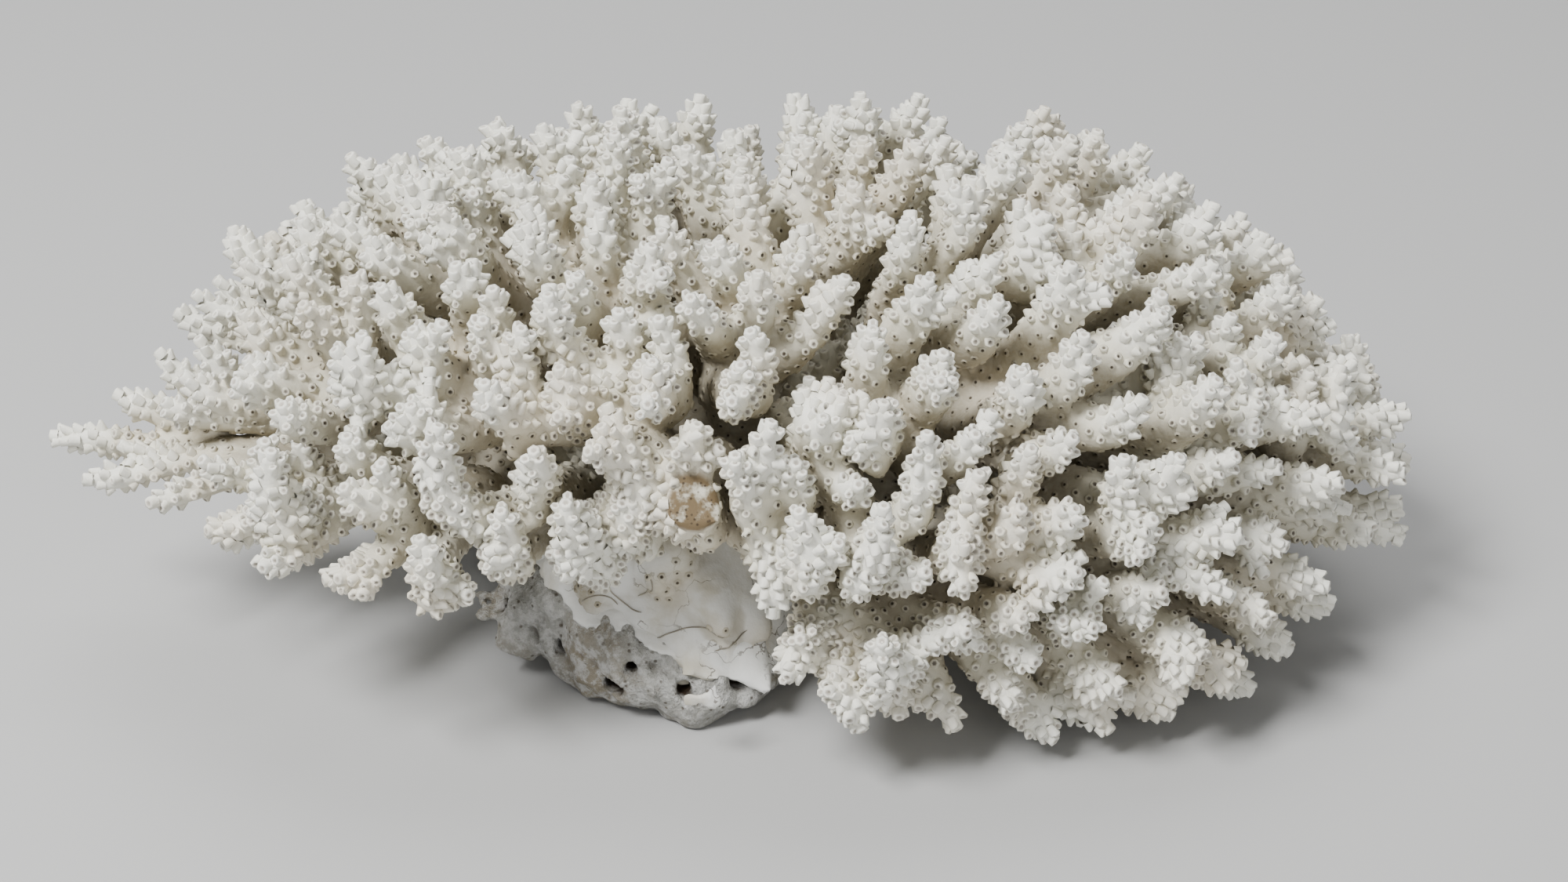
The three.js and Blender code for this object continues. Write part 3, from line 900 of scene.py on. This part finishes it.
def corallites(rings, place, axis, outer, height, radius):
    """Small open tubes or low rings. Returns points, triangles, how deep in the pit each point is and
    the number of points in one. The last ring is a single point."""
    count, sides = len(place), CORALLITE_SIDES
    side = unit(np.cross(axis, rng.normal(size=(count, 3))))
    up = np.cross(axis, side)
    angles = np.arange(sides) * 2 * math.pi / sides
    around = np.cos(angles)[None, :, None] * side[:, None] + np.sin(angles)[None, :, None] * up[:, None]
    lip = 1 + LIP * np.einsum("ijk,ik->ij", around, outer)
    points, pits = [], []
    for wide, high, pit, more in rings[:-1]:
        ring = place[:, None] + around * (radius * wide)[:, None, None]
        along = lip * (height * high)[:, None] + more
        points.append(ring + axis[:, None] * along[..., None])
        pits.append(np.full((count, sides), pit))
    _, high, pit, more = rings[-1]
    floor = np.maximum(height * high + more, 0.1)
    points.append((place + axis * floor[:, None])[:, None])
    pits.append(np.full((count, 1), pit))
    each = (len(rings) - 1) * sides + 1
    one = triangles_of_cup(len(rings), sides)
    triangles = (one[None] + (np.arange(count) * each)[:, None, None]).reshape(-1, 3)
    return np.concatenate(points, 1).reshape(-1, 3), triangles, np.concatenate(pits, 1).ravel(), each


def kinds_of_corallite(skin):
    """The tubes, the larger tubes at the ends and the low rings. Returns for each kind its rings, and
    the places, axes, outer sides, heights, radii, distances from the tips and CAD nodes."""
    chosen, weights = corallite_places(skin)
    known = (skin.points, skin.normals, skin.along, skin.far)
    where, normal, way, far = (values_at(values, skin.triangles, chosen, weights) for values in known)
    normal = unit(normal)
    way = unit(way - dot(way, normal)[:, None] * normal)
    lean = np.interp(far, TIP_DISTANCE, LEAN) + rng.normal(0, LEAN_SPREAD, len(far))
    lean = np.radians(lean)[:, None]
    axis = unit(normal * np.cos(lean) + way * np.sin(lean))
    outer = unit(normal * np.sin(lean) - way * np.cos(lean))
    height = np.interp(far, TIP_DISTANCE, HEIGHT) * rng.uniform(*HEIGHT_SPREAD, len(far))
    radius = np.interp(far, TIP_DISTANCE, RADIUS) * rng.uniform(*RADIUS_SPREAD, len(far))
    low = far > LAST_CORALLITE
    axis[low], outer[low], height[low] = normal[low], 0, PIT_HEIGHT
    radius[low] = PIT_RADIUS * rng.uniform(*PIT_SPREAD, low.sum())
    scattered = (where, axis, outer, height, radius, far, skin.node[skin.triangles[chosen, 0]])
    one = np.ones(len(skin.ends))
    at_ends = (
        skin.ends - END_SUNK * skin.ways,
        skin.ways,
        0 * skin.ways,
        END_HEIGHT * one,
        END_RADIUS * one,
        0 * one,
        skin.node[nearest_points(skin.points, skin.ends)],
    )
    return [
        (TUBE, *[values[~low] for values in scattered]),
        (TUBE, *at_ends),
        (LOW_RING, *[values[low] for values in scattered]),
    ]


def grown_corallites(skin):
    """All the corallites as one surface, with the material's attributes and each triangle's node."""
    meshes, pits, fars, nodes = [], [], [], []
    for *shape, far, node in kinds_of_corallite(skin):
        points, triangles, pit, each = corallites(*shape)
        meshes.append((points, triangles))
        pits.append(pit)
        fars.append(np.repeat(far, each))
        nodes.append(np.repeat(node, len(triangles) // len(far)))
    cups = Surface(*joined(meshes)[:2])
    cups.face_node = np.concatenate(nodes)
    cups.attributes = coral_attributes(cups, tip=whiteness(np.concatenate(fars)), pit=np.concatenate(pits))
    return cups


# ---------------------------------------------------------------- materials


class Shader:
    """A material's node tree, built by name."""

    def __init__(self, name):
        self.material = bpy.data.materials.new(name)
        self.material.use_nodes = True
        self.tree = self.material.node_tree
        self.surface = self.tree.nodes["Principled BSDF"]

    def node(self, kind, operation=None, **inputs):
        """A new node with these inputs, named as in Blender but with _ for a space."""
        node = self.tree.nodes.new("ShaderNode" + kind)
        if operation:
            node.operation = operation
        for key, value in inputs.items():
            self.feed(node.inputs[key.replace("_", " ")], value)
        return node

    def feed(self, socket, value):
        if isinstance(value, bpy.types.NodeSocket):
            self.tree.links.new(value, socket)
        else:
            socket.default_value = value

    def set(self, **inputs):
        for key, value in inputs.items():
            self.feed(self.surface.inputs[key.replace("_", " ")], value)

    def attribute(self, name):
        node = self.node("Attribute")
        node.attribute_name = name
        return node.outputs["Fac"]

    def place(self):
        return self.node("TexCoord").outputs["Object"]

    def noise(self, scale, detail=3.0, roughness=0.55):
        node = self.node(
            "TexNoise", Vector=self.place(), Scale=scale, Detail=detail, Roughness=roughness
        )
        return node.outputs["Fac"]

    def voronoi(self, scale):
        node = self.node("TexVoronoi", Vector=self.place(), Scale=scale)
        return node.outputs["Distance"]

    def distance_to(self, target):
        node = self.node("VectorMath", "DISTANCE")
        self.feed(node.inputs[0], self.place())
        self.feed(node.inputs[1], target)
        return node.outputs["Value"]

    def cell_edge(self, scale):
        """Distance from the border between two cells, which are made uneven by noise."""
        bent = self.node("TexNoise", Vector=self.place(), Scale=160.0, Detail=4.0)
        wave = self.node("VectorMath", "SCALE", Scale=0.012)
        self.feed(wave.inputs[0], bent.outputs["Color"])
        moved = self.node("VectorMath", "ADD")
        self.feed(moved.inputs[0], self.place())
        self.feed(moved.inputs[1], wave.outputs[0])
        node = self.node("TexVoronoi", Vector=moved.outputs[0], Scale=scale)
        node.feature = "DISTANCE_TO_EDGE"
        return node.outputs["Distance"]

    def math(self, operation, a, b):
        node = self.node("Math", operation)
        self.feed(node.inputs[0], a)
        self.feed(node.inputs[1], b)
        return node.outputs[0]

    def range(self, value, low, high, new_low=0.0, new_high=1.0):
        """A smooth change from new_low to new_high while value goes from low to high."""
        node = self.node("MapRange", Value=value, From_Min=low, From_Max=high)
        node.interpolation_type = "SMOOTHSTEP"
        self.feed(node.inputs["To Min"], new_low)
        self.feed(node.inputs["To Max"], new_high)
        return node.outputs[0]

    def mix(self, share, a, b):
        """Colour a where share is 0 and b where it is 1."""
        node = self.node("Mix")
        node.data_type = "RGBA"
        node.clamp_factor = True
        inputs = [socket for socket in node.inputs if socket.type == "RGBA"]
        self.feed(node.inputs[0], share)
        self.feed(inputs[0], a)
        self.feed(inputs[1], b)
        return next(socket for socket in node.outputs if socket.type == "RGBA")

    def coat(self, base, colour, value, low, high, none=0.0, full=1.0):
        """The base, covered with another colour as value goes from low to high."""
        return self.mix(self.range(value, low, high, none, full), base, colour)

    def bump(self, height, strength, distance):
        node = self.node("Bump", Height=height, Strength=strength, Distance=distance)
        self.set(Normal=node.outputs[0])


def colour(red, green, blue):
    return (red, green, blue, 1.0)


WHITE = colour(0.81, 0.80, 0.72)
WARM = colour(0.68, 0.61, 0.48)
CREAM = colour(0.65, 0.62, 0.51)
DEEP_TAN = colour(0.36, 0.32, 0.235)
CRUST_WHITE = colour(0.74, 0.74, 0.71)
CRUST_STAIN = colour(0.52, 0.485, 0.39)
STAIN_GREY = colour(0.36, 0.375, 0.38)
STAIN_PLACE = (0.104, -0.004, 0.060)
STAIN_REACH = (0.006, 0.014)  # all of it nearer than the first, none of it beyond the second
SECTION_TAN = colour(0.15, 0.108, 0.058)
# The first brown below is painted shade at the bottom of the corallites' pits and deep in the bore holes.
# It also darkens the section's pores and is the hairs' own colour. The grey is painted shade in the pits
# near the tips, where light gets into them.
DARK_BROWN = colour(0.04, 0.027, 0.016)
PIT_SHADE_GREY = colour(0.42, 0.385, 0.33)
STONE_GREY = colour(0.40, 0.395, 0.365)
STONE_BROWN = colour(0.31, 0.275, 0.21)
STONE_PALE = colour(0.60, 0.595, 0.57)
STONE_DARK = colour(0.10, 0.08, 0.055)
PAPER_GREY = colour(0.42, 0.42, 0.415)
SKY = colour(0.8, 0.82, 0.85)


def finger_colour(shader, tip, fine):
    """White tips, cream and then tan lower down, painted shade in hollows, and a faint grey stain."""
    # The tip attribute follows the felt distance from the tips, so the change from white to tan is partly
    # the coral's own colour and partly painted shade between the fingers.
    shift = shader.math("MULTIPLY", shader.math("SUBTRACT", shader.noise(38.0), 0.5), 0.55)
    tip_share = shader.math("ADD", tip, shift)
    base = shader.coat(DEEP_TAN, CREAM, tip_share, 0.0, 0.45)
    base = shader.coat(base, WHITE, tip_share, 0.45, 0.86)
    base = shader.coat(base, WARM, shader.noise(26.0, 2.0), 0.5, 0.68, 0.0, 0.55)
    # Painted shade: tan in the hollows of the surface.
    base = shader.coat(base, DEEP_TAN, shader.attribute("cavity"), 0.1, 0.7, 0.0, 0.5)
    base = shader.coat(base, WHITE, fine, 0.35, 0.65, 0.0, 0.12)
    near = shader.range(shader.distance_to(STAIN_PLACE), *STAIN_REACH, 0.7, 0.0)
    blotch = shader.math("MULTIPLY", near, shader.range(shader.noise(330.0, 4.0), 0.4, 0.6))
    return shader.mix(blotch, base, STAIN_GREY)


def crust_colour(shader):
    """White with tan stains, painted shade in its hollows, and hair cracks here and there."""
    base = shader.coat(CRUST_WHITE, CRUST_STAIN, shader.noise(70.0, 5.0), 0.5, 0.72)
    # Painted shade: tan in the crust's hollows.
    base = shader.coat(base, DEEP_TAN, shader.attribute("cavity"), 0.05, 0.5, 0.0, 0.55)
    crack = shader.range(shader.cell_edge(75.0), 0.003, 0.014, 0.75, 0.0)
    crack = shader.math("MULTIPLY", crack, shader.range(shader.noise(45.0), 0.5, 0.56))
    return shader.mix(crack, base, STONE_DARK)


def section_colour(shader):
    """The section of the broken finger: tan, with open pores."""
    base = shader.coat(SECTION_TAN, CREAM, shader.noise(350.0, 4.0), 0.48, 0.72)
    return shader.coat(base, DARK_BROWN, shader.voronoi(1000.0), 0.12, 0.36, 0.85, 0.0)


def coral_material():
    """The fingers, the crust and the section, with painted shade in the corallites' pits."""
    shader = Shader("coral_skeleton")
    tip = shader.attribute("tip")
    fine = shader.noise(900.0, 4.0)
    base = finger_colour(shader, tip, fine)
    base = shader.mix(shader.attribute("crust"), base, crust_colour(shader))
    base = shader.coat(base, section_colour(shader), shader.attribute("cut"), 0.1, 0.65)
    # Painted shade in the corallites' pits: dark brown low down, and paler grey near the tips, where light
    # gets into them.
    dark = shader.coat(DARK_BROWN, PIT_SHADE_GREY, tip, 0.25, 0.7)
    base = shader.coat(base, dark, shader.attribute("pit"), 0.3, 0.75, 0.0, 0.95)
    shader.set(Base_Color=base, Roughness=0.72, Specular_IOR_Level=0.25)
    shader.bump(fine, 0.35, 0.0005)
    return shader.material


def stone_material():
    """Rough reef limestone, grey-cream and brown in patches, with painted shade in hollows and bore holes.
    """
    shader = Shader("reef_stone")
    broad = shader.noise(60.0, 5.0)
    grain = shader.noise(420.0, 6.0, 0.7)
    base = shader.coat(STONE_BROWN, STONE_GREY, broad, 0.35, 0.62)
    base = shader.coat(base, STONE_PALE, grain, 0.42, 0.62)
    pore = shader.range(shader.voronoi(480.0), 0.08, 0.26, 0.8, 0.0)
    pore = shader.math("MULTIPLY", pore, shader.range(broad, 0.4, 0.5))
    base = shader.mix(pore, base, STONE_DARK)
    # Painted shade: darker in the hollows of the stone.
    base = shader.coat(base, STONE_DARK, shader.attribute("cavity"), 0.1, 0.7, 0.0, 0.75)
    # Painted shade deep in the bore holes.
    base = shader.mix(shader.attribute("pit"), base, DARK_BROWN)
    shader.set(Base_Color=base, Roughness=0.93, Specular_IOR_Level=0.15)
    lumps = shader.noise(220.0, 5.0, 0.65)
    shader.bump(shader.math("ADD", lumps, shader.math("MULTIPLY", grain, 0.5)), 1.0, 0.004)
    return shader.material


# ---------------------------------------------------------------- the coral's pieces


def nearest_node(points):
    """The number in coral_names of the CAD node nearest to each point."""
    tree = BVHTree.FromPolygons(cad_points.tolist(), cad_triangles.tolist())
    found = [tree.find_nearest(Vector(point))[2] for point in points.tolist()]
    return cad_part[np.array(found)]


def how_closed_in(grid, points, normals):
    """How much stands in the way straight out from each point, within 12 mm: 0 to 1."""
    closed = 0
    for out in GAP_STEPS:
        closed = closed + np.clip(1 - grid.at(points + out * normals) / 3, 0, 1) / 3
    return np.clip(closed, 0, 1)


def ends_on(points, ends, ways):
    """Only the ends that the surface reaches."""
    gap = np.linalg.norm(points[nearest_points(points, ends)] - ends, axis=1)
    return ends[gap < END_REACHED], ways[gap < END_REACHED]


def section_of_stub(points):
    """Which points are on the stub's section, and how brown they are: less so towards its rim."""
    before = (points - stub_end) @ stub_face - CUT_AHEAD
    off = np.linalg.norm(points - stub_end, axis=1)
    cut = (off < SECTION_REACH) & (np.abs(before) < SECTION_DEPTH)
    return cut, cut * np.clip(2.1 - 1.3 * off / STUB_RADIUS, 0.3, 1)


def crust_and_node(points, stone, knobs):
    """Which points are crust, and the number of each point's CAD node."""
    node = nearest_node(points)
    trunk = coral_names.index(TRUNK)
    on_stone = stone.at(points) < ON_STONE
    off_knobs = np.linalg.norm(points[:, None] - knobs[None], axis=-1).min(1) >= KNOB_REACH
    crust = (on_stone | ((node == trunk) & (points[:, 2] < CRUST_TOP))) & off_knobs
    node[on_stone] = trunk
    return crust, node


def felt_distance(skin, edges, distance, closed):
    """The distance from the tips as the corallites and colours follow it: more in the gap between two
    fingers, and less on the side of a finger that faces out of the colony."""
    # In the colours the shift is partly painted shade and light: tan in the gaps between fingers and paler
    # on the sides that face out. In the corallites it changes their size and spacing.
    facing = dot(spread(skin.normals, edges, 2), outward_way(skin.points))
    shift = GAP * spread(closed, edges, 3) - FACING * facing
    return np.clip(distance + shift * ramp(distance, 0, FIRST_SHIFTED), 0, LAST_PIT + 10)


def whiteness(far):
    return np.clip(1 - far / WHITE_REACH, 0, 1)


def coral_attributes(surface, **known):
    """The coral material's attributes. Those that aren't given are 0 everywhere."""
    nothing = np.zeros(len(surface.points))
    return {key: known.get(key, nothing) for key in ("tip", "pit", "crust", "cut", "cavity")}


def coral_skin():
    """The skeleton's surface, with all that its corallites and its material need. Returns its grid as
    well."""
    grid, stone, knobs, ends, ways = skeleton()
    points, triangles = main_body(*grid.surface())
    ends, ways = ends_on(points, ends, ways)
    cut, brown = section_of_stub(points)
    crust, node = crust_and_node(points, stone, knobs)
    closed = how_closed_in(grid, points, vertex_normals(points, triangles))
    skin = Surface(bend(points), triangles)
    skin.ends = bend(ends)
    skin.ways = unit(bend(ends + ways) - skin.ends)
    edges = edge_list(triangles)
    seeds = nearest_points(skin.points, skin.ends)
    distance = distance_from(skin.points, edges, seeds, FARTHEST)
    skin.along = unit(spread(towards_tips(skin, distance), edges, 3))
    skin.far = felt_distance(skin, edges, distance, closed)
    crust = spread(crust.astype(float), edges, 4)
    skin.allowed = (crust + cut)[triangles].mean(1) < BARE_SHARE
    skin.node, skin.face_node = node, node[triangles[:, 0]]
    skin.attributes = coral_attributes(
        skin,
        tip=whiteness(skin.far),
        crust=crust,
        cut=spread(brown, edges, 1),
        cavity=skin.hollowness(edges),
    )
    return skin, grid


def share_of_node(surface, number):
    """The part of a surface that belongs to one CAD node, with only the points that it uses."""
    used, index = np.unique(surface.triangles[surface.face_node == number], return_inverse=True)
    part = Surface(surface.points[used], index.reshape(-1, 3), surface.normals[used])
    part.attributes = {key: values[used] for key, values in surface.attributes.items()}
    return part


def build_coral():
    """One piece for each CAD node: its part of the skeleton with the corallites on it. Then the crust
    and the hairs."""
    skin, grid = coral_skin()
    cups = grown_corallites(skin)
    material = coral_material()
    for number, name in enumerate(coral_names):
        parts = [share_of_node(surface, number) for surface in (skin, cups)]
        points, triangles, _ = joined([(part.points, part.triangles) for part in parts])
        normals = np.concatenate([part.normals for part in parts])
        attributes = {
            key: np.concatenate([part.attributes[key] for part in parts]) for key in skin.attributes
        }
        surface = Surface(points, triangles, normals)
        piece = make_piece(name + "_coral", surface, attributes, material)
        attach(piece, "root")
        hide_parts(name)
    sheet = build_crust(grid, material)
    build_hairs(sheet, skin)


def crust_sheet():
    """The fine crust's points and triangles, and the grid of the stone that it lies on."""
    points, triangles = node_mesh(STONE)
    grid = Grid(points, 8, STONE_VOXEL)
    grid.take_mesh(points, triangles)
    grid.blur(3)
    x, y, z = np.moveaxis(grid.centres(), -1, 0)
    edge = grid.with_noise(crust_edge(x, y), CRUST_EDGE_NOISE)
    thickness = grid.with_noise(CRUST_THICKNESS + FINE_CRUST_MORE, CRUST_NOISE)
    rock = grid.field
    grid.field = sheet_over(rock, thickness, edge, z, FINE_CRUST_LIP)
    points, triangles = grid.surface()
    grid.field = rock
    return points, triangles, grid


def build_crust(skeleton_grid, material):
    """The thin ragged sheet that the coral spreads over the top of the stone, on a finer grid. What
    is deep inside the skeleton or the stone is left out."""
    points, triangles, stone = crust_sheet()
    shown = skeleton_grid.at(points) > -HIDDEN_IN_CORAL
    shown &= stone.at(points) > -HIDDEN_IN_STONE
    points, triangles = main_body(points, triangles[shown[triangles].any(1)], CRUST_CRUMB)
    sheet = Surface(bend(points), triangles)
    one = np.ones(len(points))
    cavity = sheet.hollowness(edge_list(triangles))
    attributes = coral_attributes(sheet, tip=0.7 * one, crust=one, cavity=cavity)
    piece = make_piece("trunk_crust", sheet, attributes, material)
    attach(piece, "root")
    return sheet


def hair_path(trees, bearing, height, heading, turn, length):
    """Points of one hair, which lies on the outermost of the surfaces under the fingers."""
    path = []
    for _ in range(int(length / HAIR_STEP)):
        way = Vector(level_way(bearing))
        start = Vector(stone_axis(height)) + HAIR_START * way
        hits = [tree.ray_cast(start, -way, HAIR_ROOM) for tree in trees]
        hits = [(distance, place) for place, _, _, distance in hits if place is not None]
        if hits:
            path.append(min(hits, key=lambda hit: hit[0])[1] + HAIR_RADIUS * way)
        heading += turn * HAIR_STEP
        bearing += math.degrees(math.cos(math.radians(heading)) * HAIR_STEP / HAIR_ROUND)
        height += math.sin(math.radians(heading)) * HAIR_STEP
    return path


def build_hairs(*surfaces):
    """A few stray hairs on the crust, as one curve."""
    trees = [BVHTree.FromPolygons(s.points.tolist(), s.triangles.tolist()) for s in surfaces]
    curve = bpy.data.curves.new("crust_hairs", "CURVE")
    curve.dimensions = "3D"
    curve.bevel_depth = HAIR_RADIUS * MM
    curve.bevel_resolution = 1
    curve.use_fill_caps = True
    for hair in HAIRS:
        path = hair_path(trees, *hair)
        spline = curve.splines.new("POLY")
        spline.points.add(len(path) - 1)
        for point, place in zip(spline.points, path):
            point.co = (*(place * MM), 1.0)
        spline.points[0].radius = spline.points[-1].radius = HAIR_THIN_END
    shader = Shader("stray_hair")
    shader.set(Base_Color=shader.mix(shader.noise(400.0), DARK_BROWN, CRUST_STAIN), Roughness=0.6)
    curve.materials.append(shader.material)
    piece = in_scene("crust_hairs", curve)
    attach(piece, "root")


# ---------------------------------------------------------------- the stone


def add_lump(grid):
    """The lump that stands out low on the left."""
    bearing, out, height, radius = STONE_LUMP
    way = level_way(bearing)
    lump = stone_axis(height) + out * way
    grid.add_rod(lump - LUMP_ROOT * way, lump, radius, radius, LUMP_FUSE)


def bore_holes(grid):
    """Holes that go straight in from the surface and narrow a little."""
    steps = np.arange(*BORE_SEARCH)
    for bearing, height, radius, depth in BORES:
        way, foot = level_way(bearing), stone_axis(height)
        out = grid.reach(foot, way, steps)
        mouth, bottom = foot + (out + 1) * way, foot + (out - depth) * way
        grid.add_rod(mouth, bottom, radius, BORE_NARROWS * radius, BORE_FUSE, -1)


def build_stone():
    """The stone: rough, bored, and cut off flat underneath."""
    points, triangles = node_mesh(STONE)
    low = points[:, 2].min()
    grid = Grid(points, 6, STONE_VOXEL)
    grid.take_mesh(points, triangles)
    add_lump(grid)
    grid.blur(3)
    grid.field = grid.with_noise(grid.field, STONE_ROUGHNESS)
    # Pocks: noise cut off so that only its peaks are left.
    grid.field = grid.field + POCK_DEPTH * np.clip(grid.noise(POCK_LUMPS) - POCK_PEAK, 0, POCK_MOST)
    solid = grid.field.copy()
    bore_holes(grid)
    grid.field = np.maximum(grid.field, low - grid.centres()[..., 2])
    rock = Surface(*main_body(*grid.surface()))
    grid.field = solid
    attributes = {
        # Painted shade: dark deep inside the bore holes.
        "pit": ramp(-grid.at(rock.points), *BORE_SHADE) * (rock.points[:, 2] > low + 1),
        "cavity": rock.hollowness(edge_list(rock.triangles)),
    }
    piece = make_piece("base_stone_rock", rock, attributes, stone_material())
    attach(piece, "root")
    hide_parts(STONE)


# ---------------------------------------------------------------- the studio


def build_floor():
    """A plain square of paper under the object."""
    half, low = FLOOR_HALF, cad_box[0][2]
    corners = [(-half, -half, low), (half, -half, low), (half, half, low), (-half, half, low)]
    mesh = bpy.data.meshes.new("floor")
    mesh.from_pydata(corners, [], [(0, 1, 2, 3)])
    shader = Shader("floor_paper")
    shader.set(Base_Color=PAPER_GREY, Roughness=0.9)
    mesh.materials.append(shader.material)
    floor = in_scene("floor", mesh)


def build_lights():
    """Soft square lights and a pale world."""
    for name, place, size, power in LIGHTS:
        data = bpy.data.lights.new(name, "AREA")
        data.shape = "SQUARE"
        data.size, data.energy = size, power
        light = in_scene(name, data)
        light.location = place
        light.rotation_euler = (Vector(TARGET) - Vector(place)).to_track_quat("-Z", "Y").to_euler()
    world = bpy.data.worlds.new("studio")
    world.use_nodes = True
    background = world.node_tree.nodes["Background"]
    background.inputs["Color"].default_value = SKY
    background.inputs["Strength"].default_value = AMBIENT
    bpy.context.scene.world = world


def build_camera():
    """Looks along +Y and down, from a little over half a metre."""
    down = math.radians(CAMERA_DOWN)
    data = bpy.data.cameras.new("camera")
    data.lens = CAMERA_LENS
    camera = in_scene("camera", data)
    back = Vector((0, -math.cos(down), math.sin(down)))
    camera.location = Vector(TARGET) + back * CAMERA_AWAY
    camera.rotation_euler = (-back).to_track_quat("-Z", "Y").to_euler()
    bpy.context.scene.camera = camera


build_camera()
build_lights()
build_floor()
build_stone()
build_coral()
